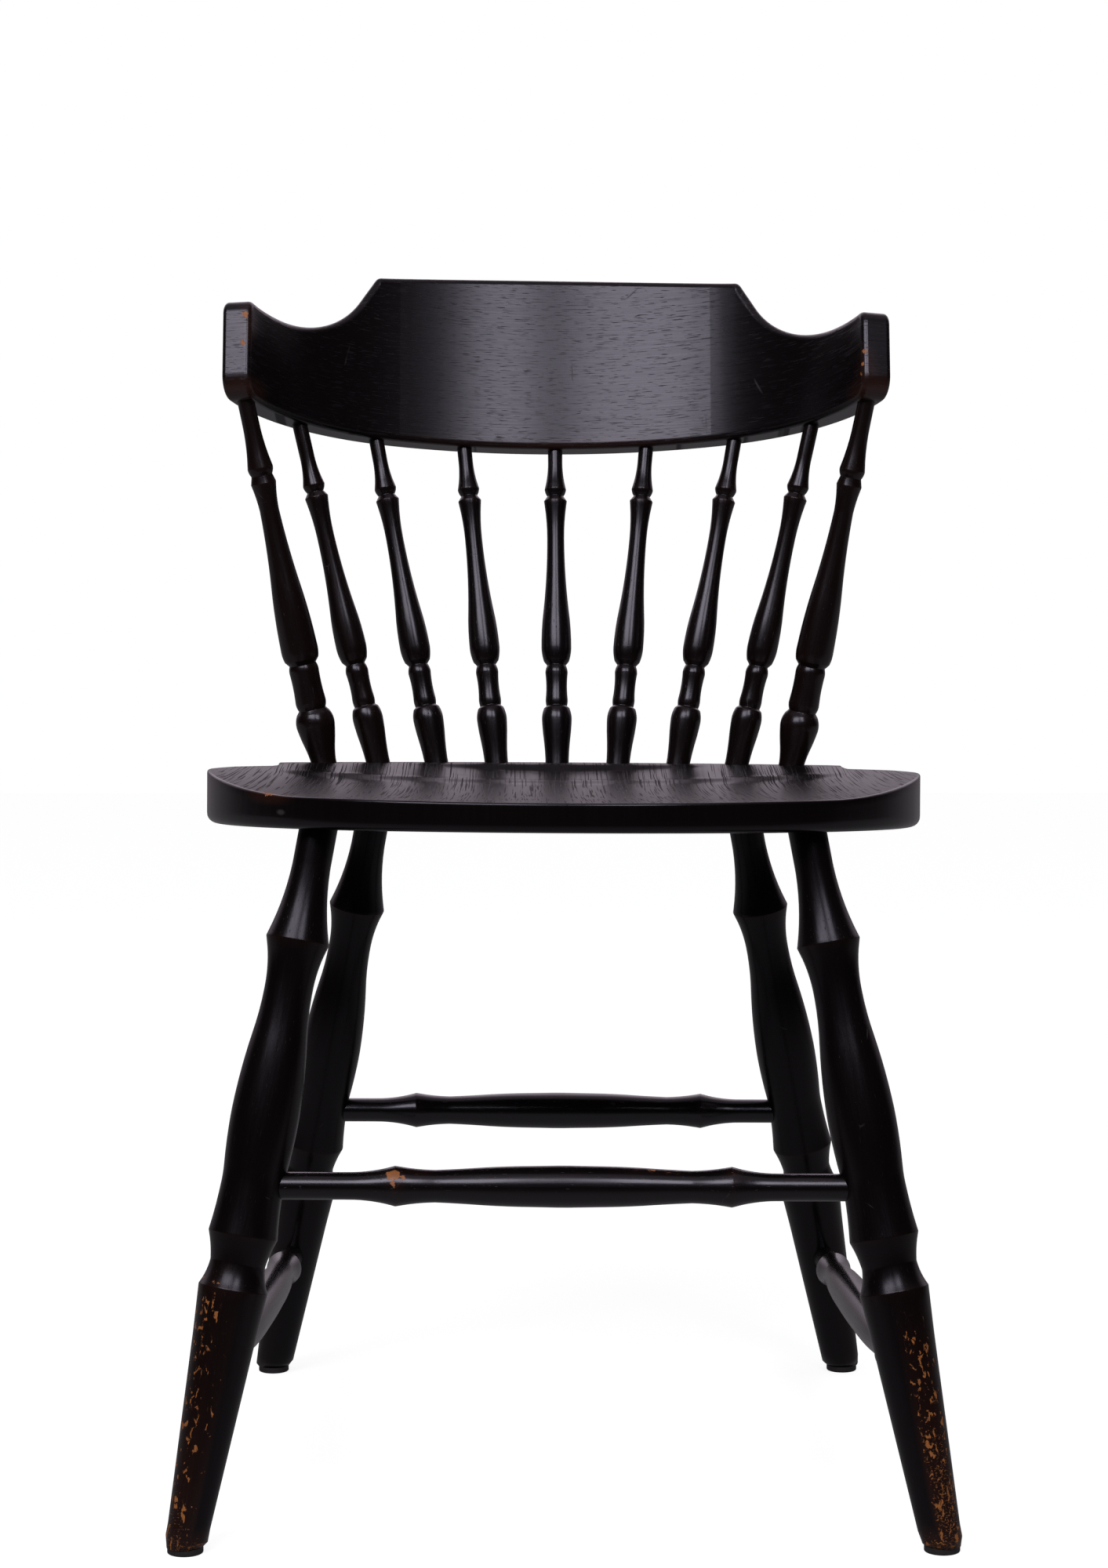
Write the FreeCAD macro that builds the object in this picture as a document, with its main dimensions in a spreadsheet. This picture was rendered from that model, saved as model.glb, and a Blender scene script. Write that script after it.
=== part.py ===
import FreeCAD, Part
import math
import os
import Sketcher
from FreeCAD import Placement, Rotation, Vector

# Windsor side chair in stained hardwood, in millimetres, +Z up.
# X runs across the chair, -Y is the front, and the origin lies on the floor
# under the middle of the chair.

os.makedirs("parts", exist_ok=True)
doc = FreeCAD.newDocument("windsor_chair")
sheet = doc.addObject("Spreadsheet::Sheet", "sizes")

# Driving dimensions
SIZES = [
    # the plank seat, in its own frame: the top plane, tilted back a little
    ("seat_height", 441.4),
    ("seat_tilt", 2.6),
    ("seat_sideways_tilt", 0.35),
    ("seat_shift", 1.5),
    ("seat_thickness", 34.3),
    ("seat_front_at", -227.4),
    ("seat_front_radius", 320.0),
    ("seat_front_half", 119.9),
    ("seat_half_width", 220.8),
    ("seat_side_radius", 420.0),
    ("seat_corner_radius", 30.0),
    ("seat_back_at", 175.8),
    ("seat_back_radius", 315.0),
    ("seat_underside_round", 6.0),
    # the dish, by cross sections from the front to the rear
    ("rim_recess", 1.6),
    ("dish_front_at", -262.0),
    ("dish_front_depth", 16.7),
    ("dish_front_floor", 150.0),
    ("dish_front_floor_depth", 14.5),
    ("dish_front_rim", 221.5),
    ("dish_middle_at", -70.0),
    ("dish_middle_depth", 17.6),
    ("dish_middle_floor", 150.0),
    ("dish_middle_floor_depth", 15.0),
    ("dish_middle_rim", 220.0),
    ("dish_rear_at", 30.0),
    ("dish_rear_depth", 15.6),
    ("dish_rear_floor", 125.0),
    ("dish_rear_floor_depth", 12.8),
    ("dish_rear_rim", 210.0),
    ("dish_end_at", 120.0),
    ("dish_end_depth", 9.4),
    ("dish_end_floor", 80.0),
    ("dish_end_floor_depth", 8.0),
    ("dish_end_rim", 186.0),
    # the raised deck behind the dish, which carries the spindles
    ("deck_front_at", 86.0),
    ("deck_front_radius", 441.0),
    ("deck_half_width", 187.0),
    ("deck_slope", 13.3),
    ("deck_lip", 10.0),
    # where the legs enter the seat, in from its sides and from its front or
    # back, and how far they splay outwards down to the floor
    ("leg_front_inset", 76.4),
    ("leg_front_setback", 65.2),
    ("leg_front_splay", 75.6),
    ("leg_front_rake", 68.0),
    ("leg_rear_inset", 95.4),
    ("leg_rear_setback", 36.0),
    ("leg_rear_splay", 76.2),
    ("leg_rear_rake", 75.2),
    ("leg_socket_depth", 15.0),
    ("leg_foot_bevel", 1.8),
    # glides under the feet
    ("glide_height", 4.0),
    ("glide_radius", 10.5),
    ("glide_edge", 1.0),
    ("glide_nail_radius", 1.3),
    ("glide_nail_length", 14.0),
    # stretchers, by the distance down each leg from the seat
    ("stretcher_front_drop", 213.0),
    ("stretcher_rear_drop", 217.0),
    ("stretcher_side_front_drop", 323.0),
    ("stretcher_side_rear_drop", 325.0),
    ("stretcher_stop", 2.0),
    # spindles, spaced by angle round the deck and by length along the crest
    ("spindle_arc_radius", 290.0),
    ("spindle_setback", 25.0),
    ("spindle_shift", -1.0),
    ("spindle_step", 8.2),
    ("post_step", 7.95),
    ("spindle_crest_step", 63.1),
    ("spindle_seat_depth", 18.0),
    ("spindle_crest_depth", 18.0),
    ("post_crest_depth", 14.0),
    # crest rail, in the frame of its board, which leans back
    ("crest_behind_seat", 28.0),
    ("crest_shift", -2.0),
    ("crest_over_seat", 205.6),
    ("crest_lean", 14.0),
    ("crest_thickness", 19.5),
    ("crest_bow_radius", 300.0),
    ("crest_bow_half", 110.0),
    ("crest_arm_radius", 163.0),
    ("crest_arm_angle", 78.0),
    ("crest_height", 121.0),
    ("crest_top_tilt", 1.0),
    ("crest_shoulder_height", 112.0),
    ("crest_shoulder_round", 5.0),
    ("crest_cove_radius", 61.0),
    ("crest_cove_slope", 60.0),
    ("crest_arm_half", 189.0),
    ("crest_arm_height", 61.5),
    ("crest_ear_top_round", 9.0),
    ("crest_ear_bottom_round", 15.0),
    ("crest_front_round", 4.0),
    ("crest_back_round", 3.0),
    # room for glue round every tenon
    ("glue_gap", 0.1),
]

# Turned profiles: ring, place along the axis, radius, and how far the
# outline bows out towards the next ring.
LEG_RINGS = [
    ("neck", 22.0, 11.35, -1.6),
    ("ridge", 67.3, 18.8, -1.1),
    ("hollow", 95.0, 14.2, -0.6),
    ("thigh", 125.0, 16.3, 0.7),
    ("swell", 171.0, 20.0, 0.35),
    ("taper", 202.0, 18.65, -0.3),
    ("waist", 216.0, 18.35, -0.35),
    ("upper_ring", 242.0, 20.4, -0.5),
    ("groove", 258.5, 16.2, -0.8),
    ("lower_ring", 273.5, 20.4, 0.0),
    ("cone", 300.0, 18.5, 0.0),
    ("ankle", 412.0, 12.4, 0.0),
]
SPINDLE_RINGS = [
    ("base", 2.0, 7.95, -0.15),
    ("vase", 16.0, 9.0, 0.15),
    ("bulb", 29.5, 10.15, 0.45),
    ("lip", 37.8, 8.7, 0.0),
    ("low_groove", 39.2, 7.0, 0.3),
    ("low_ring", 45.5, 7.4, -0.45),
    ("high_ring", 62.5, 7.65, 0.3),
    ("high_groove", 67.8, 6.35, 0.0),
    ("body_foot", 70.6, 8.6, 0.5),
    ("body", 82.0, 10.2, 0.4),
    ("shoulder", 107.0, 8.6, -0.7),
    ("throat", 158.0, 5.85, -0.5),
    ("collar", 183.5, 7.9, 0.0),
    ("collar_groove", 187.0, 5.5, 0.35),
    ("collar_ring", 191.8, 7.4, -0.8),
    ("stem", 214.0, 5.0, 0.0),
]
POST_RINGS = [
    ("base", 1.0, 8.4, -0.2),
    ("vase", 12.0, 10.2, 0.2),
    ("bulb", 25.6, 12.85, 0.7),
    ("lip", 34.5, 10.9, 0.0),
    ("low_groove", 36.8, 9.0, 0.3),
    ("low_ring", 42.0, 10.2, -0.4),
    ("high_ring", 62.3, 9.9, 0.3),
    ("high_groove", 67.5, 8.9, 0.0),
    ("body_foot", 70.6, 11.4, 0.4),
    ("body", 79.5, 12.3, 0.6),
    ("shoulder", 123.7, 9.4, -0.5),
    ("throat", 172.0, 6.4, -0.4),
    ("collar", 190.0, 8.45, 0.0),
    ("collar_groove", 195.3, 7.0, 0.35),
    ("collar_ring", 200.4, 8.5, -0.7),
    ("stem", 230.0, 5.65, 0.0),
]
STRETCHER_RINGS = [
    ("middle", 14.0, 12.05, 0.25),
    ("fall", 48.0, 11.0, -0.1),
    ("hollow", 75.0, 9.5, -0.5),
    ("ring", 98.5, 11.9, -1.0),
    ("tip", 126.0, 8.05, 0.0),
]
SIDE_RINGS = [
    ("middle", 40.0, 12.2, 0.3),
    ("fall", 92.0, 11.0, -0.1),
    ("hollow", 119.0, 9.5, -0.5),
    ("ring", 142.5, 11.9, -1.0),
    ("tip", 170.0, 8.05, 0.0),
]
FAMILIES = {
    "leg": LEG_RINGS,
    "spindle": SPINDLE_RINGS,
    "post": POST_RINGS,
    "stretcher": STRETCHER_RINGS,
    "side": SIDE_RINGS,
}

CELLS = list(SIZES)
for family, rings in FAMILIES.items():
    for ring, at, radius, bow in rings:
        stem = "%s_%s" % (family, ring)
        CELLS += [(stem + "_at", at), (stem + "_radius", radius), (stem + "_bow", bow)]
for row, (name, value) in enumerate(CELLS, 1):
    sheet.set("A%d" % row, name)
    sheet.set("B%d" % row, str(value))
    sheet.setAlias("B%d" % row, name)
doc.recompute()


def size(value):
    """A number, or the size with that name, or its opposite after a minus."""
    if not isinstance(value, str):
        return value
    if value.startswith("-"):
        return -float(sheet.get(value[1:]))
    return float(sheet.get(value))


def ref(value):
    """The same value as the right-hand side of an expression."""
    if not isinstance(value, str):
        return "%.6f" % value
    if value.startswith("-"):
        return "-sizes.%s" % value[1:]
    return "sizes.%s" % value


def bind(thing, name, rule):
    thing.setExpression(name, rule)


# Sketch helpers
def origin_plane(body, role):
    for feature in body.Origin.OriginFeatures:
        if feature.Role == role:
            return feature
    raise ValueError(role)


def new_body(label):
    body = doc.addObject("PartDesign::Body", label)
    body.Label = label
    return body


def new_sketch(body, name, role, offset=None):
    sketch = body.newObject("Sketcher::SketchObject", name)
    sketch.AttachmentSupport = [(origin_plane(body, role), "")]
    sketch.MapMode = "FlatFace"
    if offset is not None:
        sketch.AttachmentOffset = offset
    return sketch


def bowed(start, end, bow):
    """Arc that stands off the chord from start to end by bow, to its right.

    It runs anticlockwise, so it starts at end where bow is negative.
    """
    rise = abs(bow)
    radius = (end - start).Length ** 2 / (8 * rise) + rise / 2
    if bow < 0:
        start, end = end, start
    chord = end - start
    left = Vector(-chord.y, chord.x, 0).normalize()
    centre = (start + end) * 0.5 + left * (radius - rise)
    first = math.atan2(start.y - centre.y, start.x - centre.x)
    last = math.atan2(end.y - centre.y, end.x - centre.x)
    if last < first:
        last += 2 * math.pi
    return Part.ArcOfCircle(Part.Circle(centre, Vector(0, 0, 1), radius), first, last)


def fix(sketch, kind, geometry, end, value):
    """Fixes one coordinate of an end of an edge."""
    at = sketch.addConstraint(Sketcher.Constraint(kind, -1, 1, geometry, end, size(value)))
    if isinstance(value, str):
        bind(sketch, "Constraints[%d]" % at, ref(value))


def loop(sketch, points):
    """Closed outline through points (x, y, bow to the next point)."""
    count = len(points)
    corners = [Vector(size(x), size(y), 0) for x, y, _ in points]
    bows = [bow if bow is not None and size(bow) else None for _, _, bow in points]
    edges = []
    for index in range(count):
        start, end = corners[index], corners[(index + 1) % count]
        if bows[index] is None:
            edges.append(Part.LineSegment(start, end))
        else:
            edges.append(bowed(start, end, size(bows[index])))
    sketch.addGeometry(edges, False)

    def ends(index):
        """Point numbers of an edge, first and last along the outline."""
        backwards = bows[index] is not None and size(bows[index]) < 0
        return (2, 1) if backwards else (1, 2)

    rules = []
    values = []
    for index, (x, y, _) in enumerate(points):
        after = (index + 1) % count
        rules.append(Sketcher.Constraint("Coincident", index, ends(index)[1], after, ends(after)[0]))
        for kind, value in (("DistanceX", x), ("DistanceY", y)):
            if isinstance(value, str):
                values.append((len(rules), ref(value)))
            rules.append(Sketcher.Constraint(kind, -1, 1, index, ends(index)[0], size(value)))
        if bows[index] is None:
            continue
        nx, ny, _ = points[after]
        chord = (corners[after] - corners[index]).Length
        rise = abs(size(bows[index]))
        bow = "abs(%s)" % ref(bows[index])
        if any(isinstance(value, str) for value in (x, y, nx, ny, bows[index])):
            values.append((len(rules), "((%s - (%s))^2 + (%s - (%s))^2) / (8 * %s) + %s / 2" % (
                ref(nx), ref(x), ref(ny), ref(y), bow, bow)))
        rules.append(Sketcher.Constraint("Radius", index, chord ** 2 / (8 * rise) + rise / 2))
    sketch.addConstraint(rules)
    for number, rule in values:
        bind(sketch, "Constraints[%d]" % number, rule)


def place_along(start, direction):
    """Puts a piece's own Z axis along direction, with its origin at start."""
    return Placement(start, Rotation(Vector(0, 0, 1), direction))


def revolve(body, sketch, name):
    solid = body.newObject("PartDesign::Revolution", name)
    solid.Profile = sketch
    solid.ReferenceAxis = (sketch, ["V_Axis"])
    solid.Angle = 360.0
    body.Tip = solid
    return solid


def ring_points(family):
    names = ["%s_%s" % (family, ring[0]) for ring in FAMILIES[family]]
    return [(name + "_radius", name + "_at", name + "_bow") for name in names]


def turned(label, family, tail, head, where):
    """A piece turned about its own Z axis, from tail to head."""
    rings = ring_points(family)
    points = [(0.0, tail, None), (rings[0][0], tail, None)]
    points += rings[:-1]
    points += [(rings[-1][0], rings[-1][1], None), (rings[-1][0], head, None), (0.0, head, None)]
    body = new_body(label)
    sketch = new_sketch(body, label + "_profile", "XZ_Plane")
    loop(sketch, points)
    revolve(body, sketch, label + "_turning")
    body.Placement = where
    return body


def turned_both_ways(label, family, half, where):
    """The same, with its rings repeated on both sides of its middle."""
    rings = ring_points(family)
    left = []
    for index in range(len(rings) - 1, -1, -1):
        radius, at, _ = rings[index]
        bow = rings[index - 1][2] if index > 0 else None
        left.append((radius, "-" + at, bow))
    right = rings[:-1] + [(rings[-1][0], rings[-1][1], None)]
    tip = rings[-1][0]
    points = [(0.0, -half, None), (tip, -half, None)] + left + right
    points += [(tip, half, None), (0.0, half, None)]
    body = new_body(label)
    sketch = new_sketch(body, label + "_profile", "XZ_Plane")
    loop(sketch, points)
    revolve(body, sketch, label + "_turning")
    body.Placement = where
    return body


def rod(label, radius_rule, height, where):
    """A round tool for a socket, along Z of where."""
    tool = doc.addObject("Part::Cylinder", label)
    bind(tool, "Radius", radius_rule)
    tool.Height = height
    tool.Placement = where
    return tool


def bundle(label, tools):
    group = doc.addObject("Part::Compound", label)
    group.Links = tools
    return group


def cut(label, base, tool):
    result = doc.addObject("Part::Cut", label)
    result.Label = label
    result.Base = base
    result.Tool = tool
    return result


# Frames of the seat and of the crest board
seat_turn = Rotation(Vector(0, 1, 0), size("seat_sideways_tilt")).multiply(
    Rotation(Vector(1, 0, 0), -size("seat_tilt")))
seat_frame = Placement(Vector(size("seat_shift"), 0, size("seat_height")), seat_turn)
crest_frame = Placement(
    Vector(size("crest_shift"), size("seat_back_at") + size("crest_behind_seat"),
           size("seat_height") + size("crest_over_seat")),
    Rotation(Vector(1, 0, 0), -size("crest_lean")))


def seat_plane(x, y, drop):
    """Point of the seat over (x, y), at a depth below its top plane."""
    up = seat_turn.multVec(Vector(0, 0, 1))
    away = Vector(x, y, 0) - Vector(size("seat_shift"), 0, 0)
    return Vector(x, y, size("seat_height") - (away.x * up.x + away.y * up.y + drop) / up.z)


# Turned legs: where each one starts under the seat, and its direction
class Leg:
    def __init__(self, end, side):
        self.label = "leg_%s_%s" % (end, "left" if side < 0 else "right")
        inwards = 1 if end == "front" else -1
        x = size("seat_half_width") - size("leg_%s_inset" % end)
        y = size("seat_front_at" if end == "front" else "seat_back_at")
        y += inwards * size("leg_%s_setback" % end)
        self.top = seat_plane(side * x, y, size("seat_thickness"))
        self.foot = Vector(side * (x + size("leg_%s_splay" % end)),
                           y - inwards * size("leg_%s_rake" % end), 0)
        self.length = (self.foot - self.top).Length
        self.axis = (self.foot - self.top).normalize()
        self.sockets = []

    def at(self, drop):
        return self.top + self.axis * drop

    def over_floor(self, height):
        """Point of the axis at a height over the floor."""
        return self.foot + self.axis * (height / self.axis.z)


legs = {(end, side): Leg(end, side) for end in ("front", "rear") for side in (-1, 1)}

# Glides: a round pad with a nail up into each foot
glides = []
for leg in legs.values():
    label = leg.label.replace("leg", "glide")
    nail_end = size("glide_height") + size("glide_nail_length")
    edge = size("glide_edge")
    body = new_body(label)
    sketch = new_sketch(body, label + "_profile", "XZ_Plane")
    loop(sketch, [
        (0.0, 0.0, None),
        (size("glide_radius") - edge, 0.0, edge * (1 - math.sqrt(0.5))),
        ("glide_radius", "glide_edge", None),
        ("glide_radius", "glide_height", None),
        ("glide_nail_radius", "glide_height", None),
        ("glide_nail_radius", nail_end, None),
        (0.0, nail_end, None),
    ])
    revolve(body, sketch, label + "_turning")
    middle = leg.over_floor(size("glide_height"))
    body.Placement = Placement(Vector(middle.x, middle.y, 0), Rotation())
    glides.append(body)

# Stretchers between the legs, each end in a socket of its leg
stretchers = []
JOINTS = [
    ("stretcher_front", "stretcher", ("front", -1), ("front", 1), "front", "front"),
    ("stretcher_rear", "stretcher", ("rear", -1), ("rear", 1), "rear", "rear"),
    ("stretcher_left", "side", ("rear", -1), ("front", -1), "side_rear", "side_front"),
    ("stretcher_right", "side", ("rear", 1), ("front", 1), "side_rear", "side_front"),
]
for label, family, first, second, first_drop, second_drop in JOINTS:
    a = legs[first].at(size("stretcher_%s_drop" % first_drop))
    b = legs[second].at(size("stretcher_%s_drop" % second_drop))
    direction = (b - a).normalize()
    half = (b - a).Length / 2 - size("stretcher_stop")
    stretchers.append(turned_both_ways(label, family, half, place_along((a + b) * 0.5, direction)))
    stop = size("stretcher_stop") - size("glue_gap")
    for leg, point, way in ((legs[first], a, direction), (legs[second], b, direction * -1)):
        leg.sockets.append(rod(
            "%s_socket_%s" % (leg.label, label), "sizes.%s_tip_radius + sizes.glue_gap" % family,
            3 * size("leg_swell_radius"), place_along(point + way * stop, way)))

# Legs: turned, drilled, sawn level at the glide and bevelled at the foot
leg_nodes = []
seat_sockets = []
for leg in legs.values():
    blank = turned(leg.label + "_blank", "leg", -size("leg_socket_depth"),
                   leg.length + 2 * size("leg_ankle_radius"), place_along(leg.top, leg.axis))
    width = 8 * size("leg_ankle_radius")
    sawdust = doc.addObject("Part::Box", leg.label + "_floor")
    sawdust.Length = sawdust.Width = sawdust.Height = width
    sawdust.Placement = Placement(Vector(
        leg.foot.x - width / 2, leg.foot.y - width / 2, size("glide_height") - width), Rotation())
    nail_hole = rod(leg.label + "_nail_hole", "sizes.glide_nail_radius + sizes.glue_gap",
                    size("glide_nail_length") + size("glue_gap"),
                    Placement(leg.over_floor(size("glide_height")), Rotation()))
    sawn = cut(leg.label + "_sawn", blank, bundle(leg.label + "_tools", [sawdust] + leg.sockets))
    drilled = cut(leg.label + "_drilled", sawn, nail_hole)
    doc.recompute()
    rim = []
    for number, edge in enumerate(drilled.Shape.Edges, 1):
        box = edge.BoundBox
        low = abs(box.ZMin - size("glide_height")) < 0.01 and box.ZLength < 0.01
        if low and box.XLength > size("leg_ankle_radius"):
            rim.append(number)
    bevel = doc.addObject("Part::Chamfer", leg.label)
    bevel.Label = leg.label
    bevel.Base = drilled
    bevel.Edges = [(number, size("leg_foot_bevel"), size("leg_foot_bevel")) for number in rim]
    leg_nodes.append(bevel)
    depth = size("leg_socket_depth") + size("glue_gap")
    seat_sockets.append(rod(
        "seat_socket_" + leg.label, "sizes.leg_neck_radius + sizes.glue_gap", 2 * depth,
        place_along(leg.top - leg.axis * depth, leg.axis)))

# Crest rail, in the frame of its board: a bow and an arm towards each ear
bow, arm = size("crest_bow_radius"), size("crest_arm_radius")
half = size("crest_thickness") / 2
turn = math.asin(size("crest_bow_half") / bow)
sweep = math.radians(size("crest_arm_angle"))
bow_centre = Vector(0, -bow, 0)
arm_centre = Vector((bow - arm) * math.sin(turn), (bow - arm) * math.cos(turn) - bow, 0)


def crest_point(length):
    """Point of the crest's centre line, by the length along it from the middle."""
    side = -1 if length < 0 else 1
    length = abs(length)
    if length <= bow * turn:
        angle = length / bow
        return Vector(side * bow * math.sin(angle), bow * (math.cos(angle) - 1), 0)
    angle = turn + (length - bow * turn) / arm
    return Vector(side * (arm_centre.x + arm * math.sin(angle)),
                  arm_centre.y + arm * math.cos(angle), 0)


def round_arc(centre, radius, start, end):
    """Arc about centre between two angles from +Y, start being the larger."""
    circle = Part.Circle(centre, Vector(0, 0, 1), radius)
    return Part.ArcOfCircle(circle, math.pi / 2 - start, math.pi / 2 - end)


crest = new_body("crest_board")
plan = new_sketch(crest, "crest_plan", "XY_Plane")
back_bow = plan.addGeometry(round_arc(bow_centre, bow + half, turn, 0), False)
back_arm = plan.addGeometry(round_arc(arm_centre, arm + half, sweep, turn), False)
front_arm = plan.addGeometry(round_arc(arm_centre, arm - half, sweep, turn), False)
front_bow = plan.addGeometry(round_arc(bow_centre, bow - half, turn, 0), False)
ear_end = plan.addGeometry(
    Part.LineSegment(plan.getPoint(front_arm, 1), plan.getPoint(back_arm, 1)), False)
middle = plan.addGeometry(
    Part.LineSegment(plan.getPoint(back_bow, 2), plan.getPoint(front_bow, 2)), False)
for rule in (
    ("Tangent", back_bow, 1, back_arm, 2),
    ("Tangent", front_bow, 1, front_arm, 2),
    ("Coincident", ear_end, 1, front_arm, 1),
    ("Coincident", ear_end, 2, back_arm, 1),
    ("Coincident", middle, 1, back_bow, 2),
    ("Coincident", middle, 2, front_bow, 2),
    ("Coincident", front_bow, 3, back_bow, 3),
    ("PointOnObject", middle, 1, -2),
    ("PointOnObject", middle, 2, -2),
    ("PointOnObject", back_bow, 3, -2),
    ("PointOnObject", back_arm, 3, ear_end),
):
    plan.addConstraint(Sketcher.Constraint(*rule))
fix(plan, "DistanceY", back_bow, 3, "-crest_bow_radius")
for edge, name, sign in (
    (back_bow, "crest_bow_radius", "+"),
    (front_bow, "crest_bow_radius", "-"),
    (back_arm, "crest_arm_radius", "+"),
    (front_arm, "crest_arm_radius", "-"),
):
    at = plan.addConstraint(Sketcher.Constraint("Radius", edge, plan.Geometry[edge].Radius))
    bind(plan, "Constraints[%d]" % at, "sizes.%s %s sizes.crest_thickness / 2" % (name, sign))
for edge, sign in ((back_bow, "+"), (front_bow, "-")):
    x = plan.getPoint(edge, 1).x
    at = plan.addConstraint(Sketcher.Constraint("DistanceX", -1, 1, edge, 1, x))
    bind(plan, "Constraints[%d]" % at,
         "sizes.crest_bow_half * (1 %s sizes.crest_thickness / 2 / sizes.crest_bow_radius)" % sign)
at = plan.addConstraint(Sketcher.Constraint("Angle", ear_end, math.pi / 2 - sweep))
bind(plan, "Constraints[%d]" % at, "(90 - sizes.crest_arm_angle) * 1 deg")
doc.recompute()
board = crest.newObject("PartDesign::Pad", "crest_half")
board.Profile = plan
bind(board, "Length", "sizes.crest_height * 1.1")
whole = crest.newObject("PartDesign::Mirrored", "crest_whole")
whole.Originals = [board]
whole.MirrorPlane = (origin_plane(crest, "YZ_Plane"), [""])
crest.Tip = whole
doc.recompute()

# The front outline: a crowned panel, then a slope and a cove down to each
# low arm, which the cove meets tangentially. It was sawn a little askew.
outside = 2 * size("crest_arm_half")
above = size("crest_height") + size("crest_arm_height")
crown = size("crest_height") - size("crest_shoulder_height")
cove = size("crest_cove_radius")
fall = math.radians(size("crest_cove_slope"))
cove_x = size("crest_arm_half") - cove * math.sin(fall)
cove_z = size("crest_arm_height") + cove * (1 - math.cos(fall))
cove_bow = cove * (1 - math.cos(fall / 2))
shoulder = cove_x - (size("crest_shoulder_height") - cove_z) / math.tan(fall)
shape_cut = new_sketch(crest, "crest_outline", "XZ_Plane",
                       Placement(Vector(0, 0, 0), Rotation(Vector(0, 0, 1), -size("crest_top_tilt"))))
loop(shape_cut, [
    (-outside, above, None),
    (-outside, "crest_arm_height", None),
    ("-crest_arm_half", "crest_arm_height", cove_bow),
    (-cove_x, cove_z, None),
    (-shoulder, "crest_shoulder_height", -crown),
    (shoulder, "crest_shoulder_height", None),
    (cove_x, cove_z, cove_bow),
    ("crest_arm_half", "crest_arm_height", None),
    (outside, "crest_arm_height", None),
    (outside, above, None),
])
doc.recompute()
before = crest.Shape.Volume
shaping = crest.newObject("PartDesign::Pocket", "crest_shaping")
shaping.Profile = shape_cut
shaping.Type = "ThroughAll"
shaping.Midplane = True
crest.Tip = shaping
doc.recompute()
if crest.Shape.Volume > 0.95 * before:
    raise RuntimeError("the crest outline was not cut")


def name_edges(shape, wanted):
    return ["Edge%d" % number for number, edge in enumerate(shape.Edges, 1) if wanted(edge)]


def round_off(body, name, names, rule):
    base = body.Tip
    feature = body.newObject("PartDesign::Fillet", name)
    feature.Base = (base, names)
    bind(feature, "Radius", rule)
    body.Tip = feature
    doc.recompute()
    return feature


ear_tip = crest_point(bow * turn + arm * (sweep - turn))


def at_ear_end(edge):
    """Whether an edge lies in the end plane of an ear."""
    out = Vector(math.cos(sweep), -math.sin(sweep), 0)
    for vertex in edge.Vertexes:
        point = Vector(abs(vertex.X), vertex.Y, 0)
        if abs((point - ear_tip).dot(out)) > 0.01:
            return False
    return edge.BoundBox.XLength < 2 * half


def level_at(edge, height):
    box = edge.BoundBox
    return abs(box.ZMin - height) < 0.01 and abs(box.ZMax - height) < 0.01


askew = Rotation(Vector(0, 1, 0), -size("crest_top_tilt"))


def straightened(vertex):
    """Place of a point in the front outline before it is turned askew."""
    return askew.multVec(vertex.Point)


def at_shoulder(edge):
    """Whether an edge runs through the board at a corner of the panel."""
    for vertex in edge.Vertexes:
        point = straightened(vertex)
        if abs(abs(point.x) - shoulder) > 0.01 or abs(point.z - size("crest_shoulder_height")) > 0.01:
            return False
    return True


round_off(crest, "crest_shoulders", name_edges(crest.Shape, at_shoulder), "sizes.crest_shoulder_round")


def on_arm_top(edge):
    """Whether an edge lies on the top of an arm."""
    heights = [straightened(vertex).z for vertex in edge.Vertexes]
    return max(abs(height - size("crest_arm_height")) for height in heights) < 0.01


round_off(crest, "crest_ear_tops", name_edges(
    crest.Shape, lambda e: at_ear_end(e) and on_arm_top(e)), "sizes.crest_ear_top_round")
round_off(crest, "crest_ear_bottoms", name_edges(
    crest.Shape, lambda e: at_ear_end(e) and level_at(e, 0)),
    "sizes.crest_ear_bottom_round")


def on_broad_face(offset):
    """Picks the edges round the front or the back of the curved board."""
    def wanted(edge):
        for vertex in edge.Vertexes:
            x, y = abs(vertex.X), vertex.Y
            if math.atan2(x, y + bow) <= turn + 1e-6:
                away = math.hypot(x, y + bow) - bow
            else:
                away = math.hypot(x - arm_centre.x, y - arm_centre.y) - arm
            if abs(away - offset) > 0.02:
                return False
        upright = edge.BoundBox.ZLength > 0.99 * edge.Length
        return not upright or at_ear_end(edge)
    return wanted


round_off(crest, "crest_front_edges", name_edges(crest.Shape, on_broad_face(-half)),
          "sizes.crest_front_round")
round_off(crest, "crest_back_edges", name_edges(crest.Shape, on_broad_face(half)),
          "sizes.crest_back_round")
crest.Placement = crest_frame

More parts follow.
